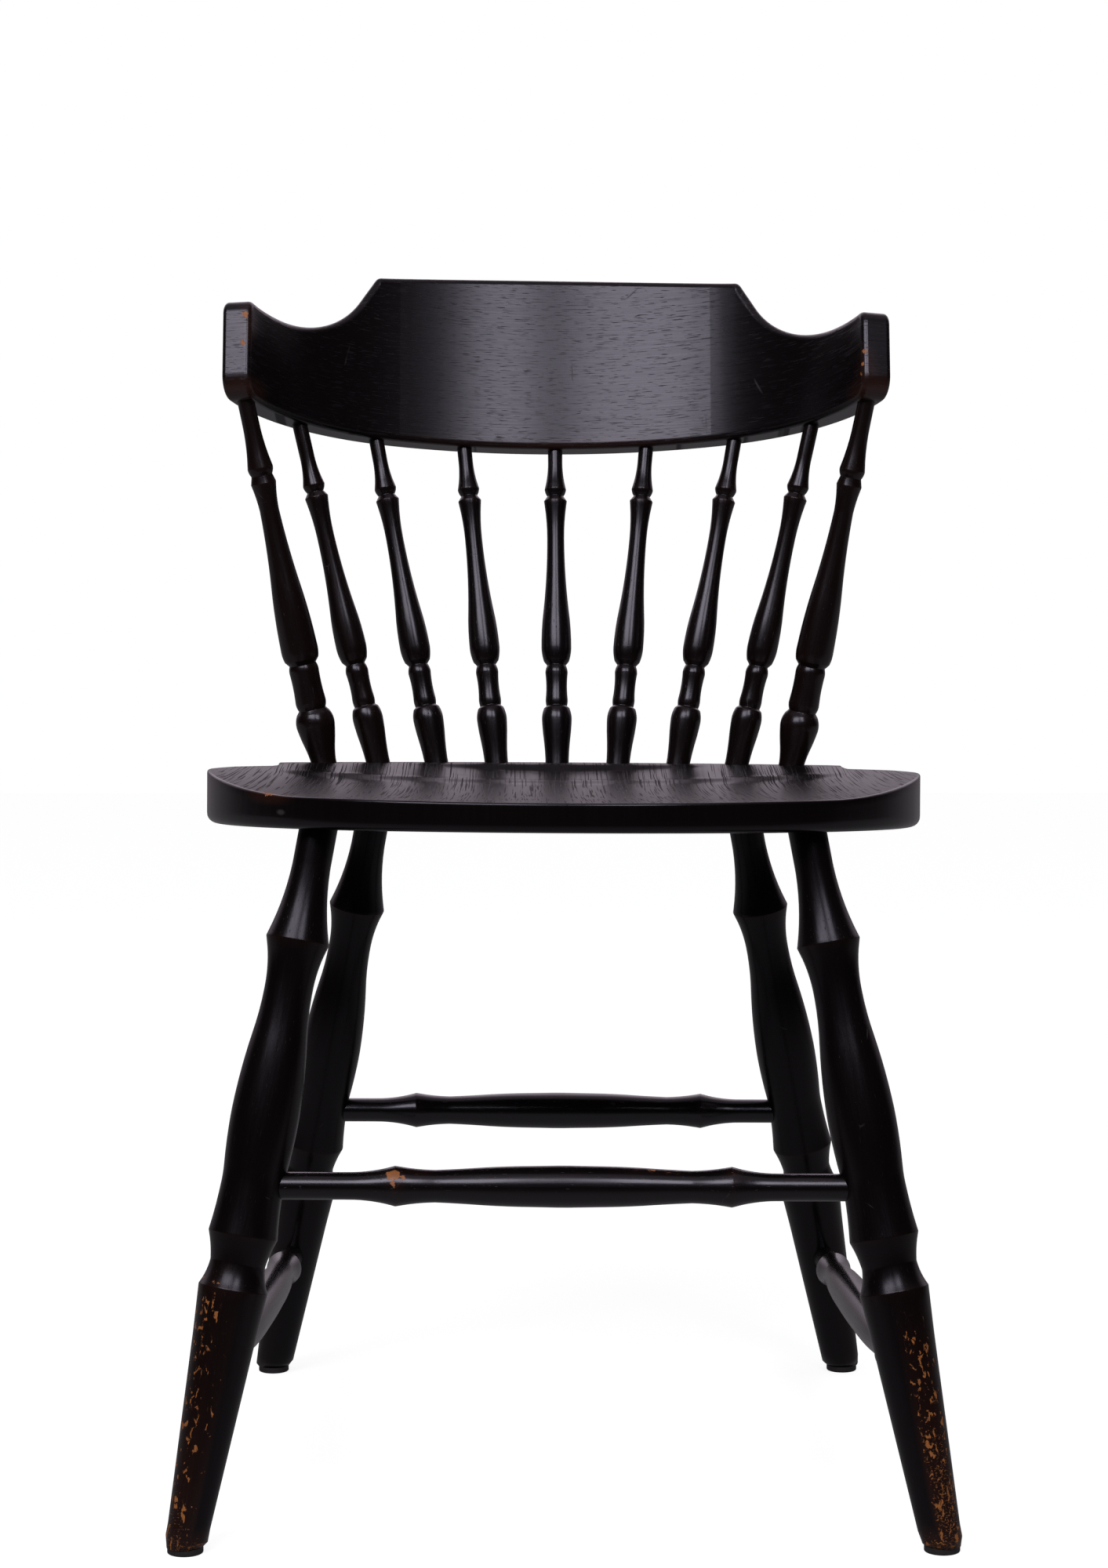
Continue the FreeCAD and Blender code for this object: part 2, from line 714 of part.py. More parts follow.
# Spindles from the deck up to the crest, the outermost ones stouter
spindle_arc_at = size("seat_back_at") - size("spindle_setback")
spindle_nodes = []
crest_sockets = []
inner_each_side = 3
for number in range(-inner_each_side - 1, inner_each_side + 2):
    outermost = abs(number) > inner_each_side
    family = "post" if outermost else "spindle"
    angle = min(abs(number), inner_each_side) * size("spindle_step")
    if outermost:
        angle += size("post_step")
    angle = math.radians(angle)
    side = -1 if number < 0 else 1
    radius = size("spindle_arc_radius")
    base = seat_plane(size("spindle_shift") + side * radius * math.sin(angle),
                      spindle_arc_at - radius * (1 - math.cos(angle)), 0)
    top = crest_frame.multVec(crest_point(number * size("spindle_crest_step")))
    direction = (top - base).normalize()
    sunk = size(family + "_crest_depth")
    place = "middle" if number == 0 else "%s_%d" % ("left" if side < 0 else "right", abs(number))
    label = "spindle_" + place
    spindle_nodes.append(turned(label, family, -size("spindle_seat_depth"),
                                (top - base).Length + sunk, place_along(base, direction)))
    depth = size("spindle_seat_depth") + size("glue_gap")
    seat_sockets.append(rod("seat_socket_" + label, "sizes.%s_base_radius + sizes.glue_gap" % family,
                            2 * depth, place_along(base - direction * depth, direction)))
    depth = sunk + size("glue_gap")
    crest_sockets.append(rod("crest_socket_" + label, "sizes.%s_stem_radius + sizes.glue_gap" % family,
                             2 * depth, place_along(top - direction * depth, direction)))
crest_node = cut("crest_rail", crest, bundle("crest_sockets", crest_sockets))
doc.recompute()

# Seat blank: half the outline from front to back, mirrored, in the seat frame
front_at, back_at = size("seat_front_at"), size("seat_back_at")
front_r, side_r = size("seat_front_radius"), size("seat_side_radius")
corner_r, back_r = size("seat_corner_radius"), size("seat_back_radius")
front_centre = Vector(0, front_at + front_r, 0)
front_turn = math.asin(size("seat_front_half") / front_r)
front_way = Vector(math.sin(front_turn), -math.cos(front_turn), 0)
front_end = front_centre + front_way * front_r
cheek_r = (size("seat_half_width") - front_end.x) / (1 - math.sin(front_turn))
cheek_centre = front_end - front_way * cheek_r
side_centre = cheek_centre + Vector(cheek_r - side_r, 0, 0)
back_centre = Vector(0, back_at - back_r, 0)
# the rear corner touches the side arc and the back arc from inside
to_side, to_back = side_r - corner_r, back_r - corner_r
span = (back_centre - side_centre).Length
along = (to_side ** 2 - to_back ** 2 + span ** 2) / (2 * span)
across = math.sqrt(to_side ** 2 - along ** 2)
unit = (back_centre - side_centre).normalize()
normal = Vector(-unit.y, unit.x, 0)
if normal.y < 0:
    normal = normal * -1
corner_centre = side_centre + unit * along + normal * across


def heading(a, b):
    return math.atan2(b.y - a.y, b.x - a.x)


def arc_between(centre, radius, start, end):
    return Part.ArcOfCircle(Part.Circle(centre, Vector(0, 0, 1), radius), start, end)


side_end = heading(side_centre, corner_centre)
corner_end = heading(back_centre, corner_centre)
seat = new_body("seat_blank")
outline = new_sketch(seat, "seat_outline", "XY_Plane")
front_arc = outline.addGeometry(
    arc_between(front_centre, front_r, -math.pi / 2, front_turn - math.pi / 2), False)
cheek_arc = outline.addGeometry(
    arc_between(cheek_centre, cheek_r, front_turn - math.pi / 2, 0), False)
side_arc = outline.addGeometry(arc_between(side_centre, side_r, 0, side_end), False)
corner_arc = outline.addGeometry(arc_between(corner_centre, corner_r, side_end, corner_end), False)
back_arc = outline.addGeometry(arc_between(back_centre, back_r, corner_end, math.pi / 2), False)
spine = outline.addGeometry(
    Part.LineSegment(Vector(0, back_at, 0), Vector(0, front_at, 0)), False)
for rule in (
    ("Tangent", front_arc, 2, cheek_arc, 1),
    ("Tangent", cheek_arc, 2, side_arc, 1),
    ("Tangent", side_arc, 2, corner_arc, 1),
    ("Tangent", corner_arc, 2, back_arc, 1),
    ("Coincident", back_arc, 2, spine, 1),
    ("Coincident", spine, 2, front_arc, 1),
    ("PointOnObject", front_arc, 3, -2),
    ("PointOnObject", back_arc, 3, -2),
    ("PointOnObject", spine, 1, -2),
    ("PointOnObject", spine, 2, -2),
    ("Horizontal", side_arc, 3, side_arc, 1),
):
    outline.addConstraint(Sketcher.Constraint(*rule))
fix(outline, "DistanceY", spine, 2, "seat_front_at")
fix(outline, "DistanceY", spine, 1, "seat_back_at")
fix(outline, "DistanceX", front_arc, 2, "seat_front_half")
fix(outline, "DistanceX", side_arc, 1, "seat_half_width")
for edge, name in (
    (front_arc, "seat_front_radius"),
    (side_arc, "seat_side_radius"),
    (corner_arc, "seat_corner_radius"),
    (back_arc, "seat_back_radius"),
):
    at = outline.addConstraint(Sketcher.Constraint("Radius", edge, size(name)))
    bind(outline, "Constraints[%d]" % at, ref(name))
doc.recompute()
plank = seat.newObject("PartDesign::Pad", "seat_plank")
plank.Profile = outline
plank.Reversed = True
bind(plank, "Length", "sizes.seat_thickness")
plank_whole = seat.newObject("PartDesign::Mirrored", "seat_plank_whole")
plank_whole.Originals = [plank]
plank_whole.MirrorPlane = (origin_plane(seat, "YZ_Plane"), [""])
seat.Tip = plank_whole
doc.recompute()
round_off(seat, "seat_underside_edge", name_edges(
    seat.Shape, lambda e: level_at(e, -size("seat_thickness"))), "sizes.seat_underside_round")

# The dish cutter: a loft through cross sections, each with a shallow floor
# arc, a flank that leaves it tangentially and a flat rim outside
above = size("seat_thickness") / 4
outside = 1.2 * size("seat_half_width")


def flank_bow(half_floor, floor_rise, dx, dy):
    """Bow of the arc over (dx, dy) that leaves the floor arc tangentially."""
    start = 2 * math.atan2(floor_rise, half_floor)
    chord = math.atan2(dy, dx)
    return math.hypot(dx, dy) / 2 * math.tan((chord - start) / 2)


dish = new_body("dish_cutter")
sections = []
for place in ("front", "middle", "rear", "end"):
    stem = "dish_%s_" % place
    floor, rim = size(stem + "floor"), size(stem + "rim")
    deep, low = size(stem + "depth"), size(stem + "floor_depth")
    bow_out = flank_bow(floor, deep - low, rim - floor, low - size("rim_recess"))
    section = new_sketch(dish, stem + "section", "XZ_Plane",
                         Placement(Vector(0, 0, -size(stem + "at")), Rotation()))
    loop(section, [
        (-outside, "-rim_recess", None),
        ("-" + stem + "rim", "-rim_recess", bow_out),
        ("-" + stem + "floor", "-" + stem + "floor_depth", deep - low),
        (stem + "floor", "-" + stem + "floor_depth", bow_out),
        (stem + "rim", "-rim_recess", None),
        (outside, "-rim_recess", None),
        (outside, above, None),
        (-outside, above, None),
    ])
    sections.append(section)
doc.recompute()
hollow = dish.newObject("PartDesign::AdditiveLoft", "dish_loft")
hollow.Profile = sections[0]
hollow.Sections = sections[1:]
dish.Tip = hollow
doc.recompute()

# The deck that the dish cutter leaves standing: its front edge is an arc,
# and a cone about the spindles' centre slopes its front down
half_deck = size("deck_half_width")
deck_r = size("deck_front_radius")
side_y = size("deck_front_at") - deck_r + math.sqrt(deck_r ** 2 - half_deck ** 2)
behind = 2 * size("seat_back_at")
deck = new_body("deck_keep")
deck_plan = new_sketch(deck, "deck_plan", "XY_Plane")
loop(deck_plan, [
    ("-deck_half_width", behind, None),
    ("-deck_half_width", side_y, side_y - size("deck_front_at")),
    ("deck_half_width", side_y, None),
    ("deck_half_width", behind, None),
])
block = deck.newObject("PartDesign::Pad", "deck_block")
block.Profile = deck_plan
bind(block, "Length", "sizes.seat_thickness * 2")
block.Midplane = True
deck.Tip = block
doc.recompute()
before = deck.Shape.Volume
slope = math.tan(math.radians(size("deck_slope")))
centre_y = spindle_arc_at - size("spindle_arc_radius")
level = spindle_arc_at - size("deck_lip") - centre_y
rise = 1.5 * above
run = level + centre_y - size("deck_front_at") + size("seat_thickness")
cone = new_sketch(deck, "deck_slope_section", "YZ_Plane", Placement(Vector(centre_y, 0, 0), Rotation()))
loop(cone, [
    (level + rise / slope, rise, None),
    (level - run, rise, None),
    (level - run, -run * slope, None),
])
doc.recompute()
sloping = deck.newObject("PartDesign::Groove", "deck_slope_cut")
sloping.Profile = cone
sloping.ReferenceAxis = (cone, ["V_Axis"])
sloping.Angle = 360.0
deck.Tip = sloping
doc.recompute()
if deck.Shape.Volume > 0.999 * before:
    raise RuntimeError("the deck slope was not cut")

seat_shaped = cut("seat_shaped", seat, cut("dish_tool", dish, deck))
seat_shaped.Placement = seat_frame
doc.recompute()
seat_node = cut("seat", seat_shaped, bundle("seat_sockets", seat_sockets))
doc.recompute()

# Check every object, then write each piece to its own file. The printed
# sizes are measured on facets that leave the surface by this much at most.
facet_error = 1.0
nodes = [seat_node, crest_node] + spindle_nodes + leg_nodes + stretchers + glides
failed = [thing.Name for thing in doc.Objects if "Invalid" in thing.State or "Error" in thing.State]
if failed:
    raise RuntimeError("failed: %s" % failed)
whole_box = FreeCAD.BoundBox()
for node in nodes:
    shape = node.Shape
    if shape.isNull() or not shape.isValid() or len(shape.Solids) != 1:
        raise RuntimeError("%s is not one valid solid" % node.Label)
    shape.exportStep("parts/%s.step" % node.Label)
    points, _ = shape.tessellate(facet_error)
    box = FreeCAD.BoundBox()
    for point in points:
        box.add(point)
    whole_box.add(box)
    print("%-18s %9.0f mm3  x %7.1f %7.1f  y %7.1f %7.1f  z %6.1f %6.1f" % (
        node.Label, shape.Volume, box.XMin, box.XMax, box.YMin, box.YMax, box.ZMin, box.ZMax))
print("whole: x %.2f %.2f  y %.2f %.2f  z %.2f %.2f, middle y %.3f" % (
    whole_box.XMin, whole_box.XMax, whole_box.YMin, whole_box.YMax, whole_box.ZMin, whole_box.ZMax,
    whole_box.Center.y))
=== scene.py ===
# %% [markdown]
# # A black windsor chair
# The real chair is a side chair in turned hardwood, stained and lacquered
# black, with a bent crest rail, nine spindles, a dished plank seat, four
# splayed legs and four stretchers. Years of use have rubbed the lacquer off
# the feet, a stretcher ring and the ears of the crest.
# The model arrives from CAD with every piece in its place, in metres, so the
# lesson only has to give the pieces soft edges, a finish and a studio.

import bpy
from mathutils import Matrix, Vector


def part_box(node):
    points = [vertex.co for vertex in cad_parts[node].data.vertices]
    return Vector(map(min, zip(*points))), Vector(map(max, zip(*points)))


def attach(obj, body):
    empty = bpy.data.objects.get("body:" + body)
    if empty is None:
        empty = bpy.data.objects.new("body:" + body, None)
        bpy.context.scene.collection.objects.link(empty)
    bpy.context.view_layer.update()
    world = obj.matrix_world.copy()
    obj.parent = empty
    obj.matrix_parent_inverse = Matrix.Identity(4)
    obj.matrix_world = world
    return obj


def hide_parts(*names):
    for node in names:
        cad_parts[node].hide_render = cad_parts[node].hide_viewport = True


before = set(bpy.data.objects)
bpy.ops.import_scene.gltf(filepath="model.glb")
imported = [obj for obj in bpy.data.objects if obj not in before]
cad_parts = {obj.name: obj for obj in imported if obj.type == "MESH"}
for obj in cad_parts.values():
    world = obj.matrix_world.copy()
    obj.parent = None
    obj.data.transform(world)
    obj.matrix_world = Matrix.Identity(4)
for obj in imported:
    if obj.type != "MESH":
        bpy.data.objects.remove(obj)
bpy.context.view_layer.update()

# %% The modules of the lesson
import math
from functools import partial

import bmesh
import bpy
from mathutils import Matrix, Vector
from mathutils.bvhtree import BVHTree

MM = 0.001

# %% [markdown]
# ## Turned profiles
# Legs, spindles and stretchers come off a lathe. A turner works from a list
# of rings: how far along the axis each one is, how thick the wood is there,
# and whether the curve to the next ring bulges or hollows. The same list
# drives the mesh here, which is smoother than the CAD facets, because the
# light on black lacquer shows every flat.

# %% Ring lists: place along the axis, radius, and bulge to the next ring, in mm
LEG = [
    (22.0, 11.35, -1.6), (67.3, 18.8, -1.1), (95.0, 14.2, -0.6), (125.0, 16.3, 0.7),
    (171.0, 20.0, 0.35), (202.0, 18.65, -0.3), (216.0, 18.35, -0.35),
    (242.0, 20.4, -0.5), (258.5, 16.2, -0.8), (273.5, 20.4, 0.0),
    (300.0, 18.5, 0.0), (412.0, 12.4, 0.0),
]
SPINDLE = [
    (2.0, 7.95, -0.15), (16.0, 9.0, 0.15), (29.5, 10.15, 0.45), (37.8, 8.7, 0.0),
    (39.2, 7.0, 0.3), (45.5, 7.4, -0.45), (62.5, 7.65, 0.3), (67.8, 6.35, 0.0),
    (70.6, 8.6, 0.5), (82.0, 10.2, 0.4), (107.0, 8.6, -0.7), (158.0, 5.85, -0.5),
    (183.5, 7.9, 0.0), (187.0, 5.5, 0.35), (191.8, 7.4, -0.8), (214.0, 5.0, 0.0),
]
POST = [
    (1.0, 8.4, -0.2), (12.0, 10.2, 0.2), (25.6, 12.85, 0.7), (34.5, 10.9, 0.0),
    (36.8, 9.0, 0.3), (42.0, 10.2, -0.4), (62.3, 9.9, 0.3), (67.5, 8.9, 0.0),
    (70.6, 11.4, 0.4), (79.5, 12.3, 0.6), (123.7, 9.4, -0.5), (172.0, 6.4, -0.4),
    (190.0, 8.45, 0.0), (195.3, 7.0, 0.35), (200.4, 8.5, -0.7), (230.0, 5.65, 0.0),
]
STRETCHER_RING = 98.5
STRETCHER = [
    (14.0, 12.05, 0.25), (48.0, 11.0, -0.1), (75.0, 9.5, -0.5),
    (STRETCHER_RING, 11.9, -1.0), (126.0, 8.05, 0.0),
]
SIDE_STRETCHER = [
    (40.0, 12.2, 0.3), (92.0, 11.0, -0.1), (119.0, 9.5, -0.5),
    (142.5, 11.9, -1.0), (170.0, 8.05, 0.0),
]
MIDDLE_BULGE = 0.25


# %% Both halves of a stretcher have the same rings
def both_ways(rings):
    left = []
    for index in range(len(rings) - 1, -1, -1):
        bulge = rings[index - 1][2] if index > 0 else MIDDLE_BULGE
        left.append((-rings[index][0], rings[index][1], bulge))
    return left + rings


# %% From rings to a fine outline
def bowed_points(start, end, bulge, step):
    """Points on the arc between two rings, the first one included."""
    (h0, r0), (h1, r1) = start, end
    length = math.hypot(h1 - h0, r1 - r0)
    count = max(1, round(length / step))
    out = []
    for k in range(count):
        t = k / count
        rise = bulge * 4 * t * (1 - t)
        out.append((h0 + (h1 - h0) * t - rise * (r1 - r0) / length,
                    r0 + (r1 - r0) * t + rise * (h1 - h0) / length))
    return out


def outline(rings, tail, head, step=0.25, softness=2, reach=4, least_run=0.01):
    """Closed lathe outline from tail to head with its sharp ridges eased.

    Each point is (height, radius, ridge). The ridge compares a point with
    those reach steps away: it is above zero on edges that hands rub and
    below zero in grooves that keep their dirt.
    """
    stops = [(tail, rings[0][1], 0.0)] + list(rings) + [(head, rings[-1][1], 0.0)]
    line = []
    for (h0, r0, bulge), (h1, r1, _) in zip(stops, stops[1:]):
        if h1 > h0:
            line += bowed_points((h0, r0), (h1, r1), bulge, step)
    line.append((head, rings[-1][1]))
    heights = [p[0] for p in line]
    radii = [p[1] for p in line]
    for _ in range(softness):
        radii = [radii[0]] + [
            (a + 2 * b + c) / 4 for a, b, c in zip(radii, radii[1:], radii[2:])
        ] + [radii[-1]]
    ridges = []
    for k in range(len(radii)):
        a, c = max(0, k - reach), min(len(radii) - 1, k + reach)
        run = max(heights[c] - heights[a], least_run)
        ridges.append((radii[k] - (radii[a] + radii[c]) / 2) / run)
    return list(zip(heights, radii, ridges))


def thinned(points, turn=2.0, gap=7.0):
    """Drops the points of straight stretches, which need no facets."""
    kept = [points[0]]
    heading = None
    for point, after in zip(points[1:], points[2:]):
        here = math.degrees(math.atan2(after[1] - point[1], after[0] - point[0]))
        if heading is None:
            heading = here
        if abs(here - heading) > turn or point[0] - kept[-1][0] > gap:
            kept.append(point)
            heading = here
    kept.append(points[-1])
    return kept


# %% How far past its ring list each piece goes, in mm, and its facets
LEG_TENON, LEG_SAWN_OFF, LEG_FACETS = 15.0, 20.0, 64
STRETCHER_SHORT, STRETCHER_FACETS = 2.0, 48
SPINDLE_TENON, SPINDLE_TOP, POST_TOP, SPINDLE_FACETS = 18.0, 18.0, 14.0, 44

sample = outline(LEG, -LEG_TENON, LEG[-1][0])
print("leg outline", len(sample), "points, thinned to", len(thinned(sample)))

# %% [markdown]
# ## The lathe
# A surface of revolution is a rule, so Geometry Nodes make it. The tree lays
# out a grid, one row for each point of the outline and one column for each
# step round the axis, bends it round, and welds the seam and the two poles.
# It then leans the piece along its axis and, for a leg, saws it level over
# the floor. It also stores what the finish needs to know: the place in the
# wood before leaning, the way outwards, and how much of an edge each point is.


# %% Small helpers for node trees
def feed(tree, socket, value):
    """Links a socket to another node's output, or else sets its value."""
    if isinstance(value, bpy.types.NodeSocket):
        tree.links.new(value, socket)
    else:
        socket.default_value = value


def add(tree, kind, inputs=None, **settings):
    """A new node; settings name its properties, and inputs feed its sockets."""
    node = tree.nodes.new(kind)
    for name, value in settings.items():
        setattr(node, name, value)
    for key, value in (inputs or {}).items():
        feed(tree, node.inputs[key], value)
    return node


def calc(tree, *values, operation, clamp=False):
    """One sum of numbers, as a Math node's result."""
    return add(tree, "ShaderNodeMath", operation=operation, use_clamp=clamp,
               inputs=dict(enumerate(values))).outputs[0]


plus, minus, times, over, larger, floor_of, cosine, sine = (
    partial(calc, operation=operation) for operation in (
        "ADD", "SUBTRACT", "MULTIPLY", "DIVIDE", "MAXIMUM", "FLOOR", "COSINE", "SINE"))


def vec(tree, *values, operation, output="Vector"):
    """One sum of vectors; its short names end in 3."""
    return add(tree, "ShaderNodeVectorMath", operation=operation,
               inputs=dict(enumerate(values))).outputs[output]


plus3, minus3, times3, over3 = (
    partial(vec, operation=operation) for operation in ("ADD", "SUBTRACT", "MULTIPLY", "DIVIDE"))
length_of, dot = (
    partial(vec, operation=operation, output="Value") for operation in ("LENGTH", "DOT_PRODUCT"))


def xyz(tree, x=0.0, y=0.0, z=0.0):
    """Three numbers as one vector."""
    return add(tree, "ShaderNodeCombineXYZ", inputs={0: x, 1: y, 2: z}).outputs[0]


def part(tree, vector, axis):
    """One number of a vector: 0, 1 or 2 for X, Y or Z."""
    return add(tree, "ShaderNodeSeparateXYZ", inputs={0: vector}).outputs[axis]


# %% Node groups with named sockets
OUTPUT_KINDS = {"VALUE": "Float", "RGBA": "Color", "GEOMETRY": "Geometry"}
ORIGIN = (0.0, 0.0, 0.0)


def socket_kind(default):
    """The kind of socket that a default value needs; a word names its kind itself."""
    if isinstance(default, str):
        return default
    if isinstance(default, tuple):
        return "Vector" if len(default) == 3 else "Color"
    return "Int" if isinstance(default, int) else "Float"


def new_group(name, kind, inputs):
    """A node group with an input for each named default, and what they give."""
    tree = bpy.data.node_groups.new(name, kind)
    for label, default in inputs.items():
        made = tree.interface.new_socket(
            name=label, in_out="INPUT", socket_type="NodeSocket" + socket_kind(default))
        if not isinstance(default, str):
            made.default_value = default
    return tree, tree.nodes.new("NodeGroupInput").outputs


def put_out(tree, **values):
    """Gives the group an output for each value, of the value's own kind."""
    for name, value in values.items():
        tree.interface.new_socket(
            name=name, in_out="OUTPUT", socket_type="NodeSocket" + OUTPUT_KINDS[value.type])
    result = tree.nodes.new("NodeGroupOutput")
    for name, value in values.items():
        tree.links.new(value, result.inputs[name])
    return tree


# %% The blank: a grid bent round, one row for each point of the outline
def stored_value(tree, kind, name):
    return add(tree, "GeometryNodeInputNamedAttribute", data_type=kind,
               inputs={"Name": name}).outputs["Attribute"]


HALF_A_STEP = 0.5


def bent_grid(tree, get):
    """The grid, and each point's way out, place round the Z axis, height and ridge."""
    rows = add(tree, "GeometryNodeAttributeDomainSize", component="MESH",
               inputs={0: get["Outline"]}).outputs["Point Count"]
    columns = plus(tree, get["Facets round"], 1)
    grid = add(tree, "GeometryNodeMeshGrid", inputs={
        "Vertices X": rows, "Vertices Y": columns}).outputs["Mesh"]
    index = add(tree, "GeometryNodeInputIndex").outputs[0]
    row = floor_of(tree, over(tree, plus(tree, index, HALF_A_STEP), columns))
    column = minus(tree, index, times(tree, row, columns))
    angle = times(tree, over(tree, column, get["Facets round"]), math.tau)

    def on_outline(kind, value):
        return add(tree, "GeometryNodeSampleIndex", data_type=kind, inputs={
            "Geometry": get["Outline"], "Value": value, "Index": row}).outputs[0]

    spot = on_outline("FLOAT_VECTOR", add(tree, "GeometryNodeInputPosition").outputs[0])
    ridge = on_outline("FLOAT", stored_value(tree, "FLOAT", "ridge"))
    across, along = part(tree, spot, 0), part(tree, spot, 2)
    out = xyz(tree, cosine(tree, angle), sine(tree, angle))
    local = plus3(tree, times3(tree, out, xyz(tree, across, across)), xyz(tree, z=along))
    return grid, out, local, along, ridge


# %% The saw and the bevel at a leg's foot
def moved_points(tree, geometry, **where):
    return add(tree, "GeometryNodeSetPosition", inputs={"Geometry": geometry, **where}).outputs[0]


def sawn_foot(tree, get, blank):
    """Points below the cut slide up the axis to its plane, and the rim draws in over it."""
    here = add(tree, "GeometryNodeInputPosition").outputs[0]
    height = part(tree, here, 2)
    under = larger(tree, minus(tree, get["Floor gap"], height), 0.0)
    slide = over(tree, under, part(tree, get["Axis"], 2))
    sawn = moved_points(tree, blank, Offset=times3(tree, get["Axis"], xyz(tree, slide, slide, slide)))
    low = minus(tree, plus(tree, get["Floor gap"], get["Foot bevel"]), height)
    draw = times(tree, larger(tree, low, 0.0), -1.0)
    outward = stored_value(tree, "FLOAT_VECTOR", "outward")
    radius = dot(tree, minus3(tree, here, get["Start"]), outward)
    pull = larger(tree, draw, times(tree, radius, -1.0))
    return moved_points(tree, sawn, Offset=times3(tree, outward, xyz(tree, pull, pull, pull)))


# %% The tree that turns an outline into a piece
NO_FLOOR = (-1.0, 0.0)
WELD_DISTANCE = 2e-6


def build_lathe():
    tree, get = new_group("lathe", "GeometryNodeTree", {
        "Outline": "Geometry", "Facets round": 48, "Start": ORIGIN, "Axis": ORIGIN,
        "Floor gap": NO_FLOOR[0], "Foot bevel": NO_FLOOR[1], "Grain shift": ORIGIN,
        "Finish": "Material"})
    tree.is_modifier = True
    piece, out, local, along, ridge = bent_grid(tree, get)
    lean = add(tree, "FunctionNodeAlignRotationToVector", axis="Z",
               inputs={"Vector": get["Axis"]}).outputs[0]

    def leaned(value):
        return add(tree, "FunctionNodeRotateVector",
                   inputs={"Vector": value, "Rotation": lean}).outputs[0]

    for name, kind, value in (
        ("turned_at", "FLOAT_VECTOR", plus3(tree, local, get["Grain shift"])),
        ("outward", "FLOAT_VECTOR", leaned(out)),
        ("ridge", "FLOAT", ridge),
        ("along", "FLOAT", along),
    ):
        piece = add(tree, "GeometryNodeStoreNamedAttribute", data_type=kind, domain="POINT",
                    inputs={"Geometry": piece, "Name": name, "Value": value}).outputs[0]
    piece = moved_points(tree, piece, Position=plus3(tree, get["Start"], leaned(local)))
    piece = sawn_foot(tree, get, piece)
    for kind, more in (
        ("GeometryNodeMergeByDistance", {"Distance": WELD_DISTANCE}),
        ("GeometryNodeSetShadeSmooth", {}),
        ("GeometryNodeRealizeInstances", {}),
        ("GeometryNodeSetMaterial", {"Material": get["Finish"]}),
    ):
        piece = add(tree, kind, inputs={"Geometry": piece, **more}).outputs[0]
    return put_out(tree, Piece=piece)


LATHE = build_lathe()
print("lathe tree with", len(LATHE.nodes), "nodes")


# %% Helpers for finished pieces
def new_object(name, data):
    """An object for the data, in the scene, at the origin."""
    thing = bpy.data.objects.new(name, data)
    bpy.context.scene.collection.objects.link(thing)
    return thing


def plain_copy(source, name):
    """The evaluated object as a plain mesh at the origin; the source goes."""
    graph = bpy.context.evaluated_depsgraph_get()
    mesh = bpy.data.meshes.new_from_object(source.evaluated_get(graph), depsgraph=graph)
    mesh.name = name
    old = source.data
    bpy.data.objects.remove(source)
    bpy.data.meshes.remove(old)
    return new_object(name, mesh)


def outward_faces(mesh):
    """Turns every face of a closed mesh to look outwards, and counts its open edges."""
    work = bmesh.new()
    work.from_mesh(mesh)
    bmesh.ops.recalc_face_normals(work, faces=work.faces)
    open_edges = sum(1 for e in work.edges if len(e.link_faces) != 2)
    work.to_mesh(mesh)
    work.free()
    return open_edges


def stand_in(piece, node):
    """Puts a piece in its CAD node's place and prints how well it fits there."""
    gaps = outward_faces(piece.data)
    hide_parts(node)
    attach(piece, "root")
    low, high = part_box(node)
    corners = [v.co for v in piece.data.vertices]
    off = max(max(abs(min(c[k] for c in corners) - low[k]), abs(max(c[k] for c in corners) - high[k]))
              for k in range(3))
    print("%-17s %6d faces, %d open edges, %.2f mm off the CAD box" % (
        node, len(piece.data.polygons), gaps, off / MM))


# %% One piece off the lathe
GRAIN_STEP = (0.37, 0.61, 0.23)


def turn_piece(node, rings, tail, head, start, axis, finish, facets, seed, floor=NO_FLOOR):
    """Turns one piece along axis from start, with its own stretch of grain for each seed."""
    points = thinned(outline(rings, tail, head))
    rows = [(points[0][0], 0.0, 0.0)] + points + [(points[-1][0], 0.0, 0.0)]
    line = bpy.data.meshes.new(node + "_outline")
    line.from_pydata([(r * MM, 0.0, h * MM) for h, r, _ in rows],
                     [(k, k + 1) for k in range(len(rows) - 1)], [])
    edge = line.attributes.new("ridge", "FLOAT", "POINT")
    edge.data.foreach_set("value", [ridge for _, _, ridge in rows])
    blank = new_object(node + "_blank", line)
    machine = blank.modifiers.new("lathe", "NODES")
    machine.node_group = LATHE
    names = {s.name: s.identifier for s in LATHE.interface.items_tree if s.in_out == "INPUT"}
    for name, value in (
        ("Facets round", facets), ("Start", list(start)), ("Axis", list(axis)),
        ("Floor gap", floor[0]), ("Foot bevel", floor[1]),
        ("Grain shift", [step * seed for step in GRAIN_STEP]), ("Finish", finish),
    ):
        machine[names[name]] = value
    stand_in(plain_copy(blank, node + "_turned"), node)


# %% [markdown]
# ## The finish: shared shader groups
# Black lacquer is hardly ever plain black. It lies over open-pored wood, so
# the grain shows as fine relief, it goes brown where it is thin, and it
# flakes off along edges. Each of these effects is a small node group that
# several finishes share, fed with a place in the wood whose third axis runs
# along the fibres.


# %% Helpers for shader groups
def ramp(tree, value, start, end, low=0.0, high=1.0, smooth=True):
    """low up to start, high from end on, and a curve or a straight line between."""
    return add(tree, "ShaderNodeMapRange",
               interpolation_type="SMOOTHSTEP" if smooth else "LINEAR", inputs={
                   "Value": value, "From Min": start, "From Max": end,
                   "To Min": low, "To Max": high}).outputs[0]


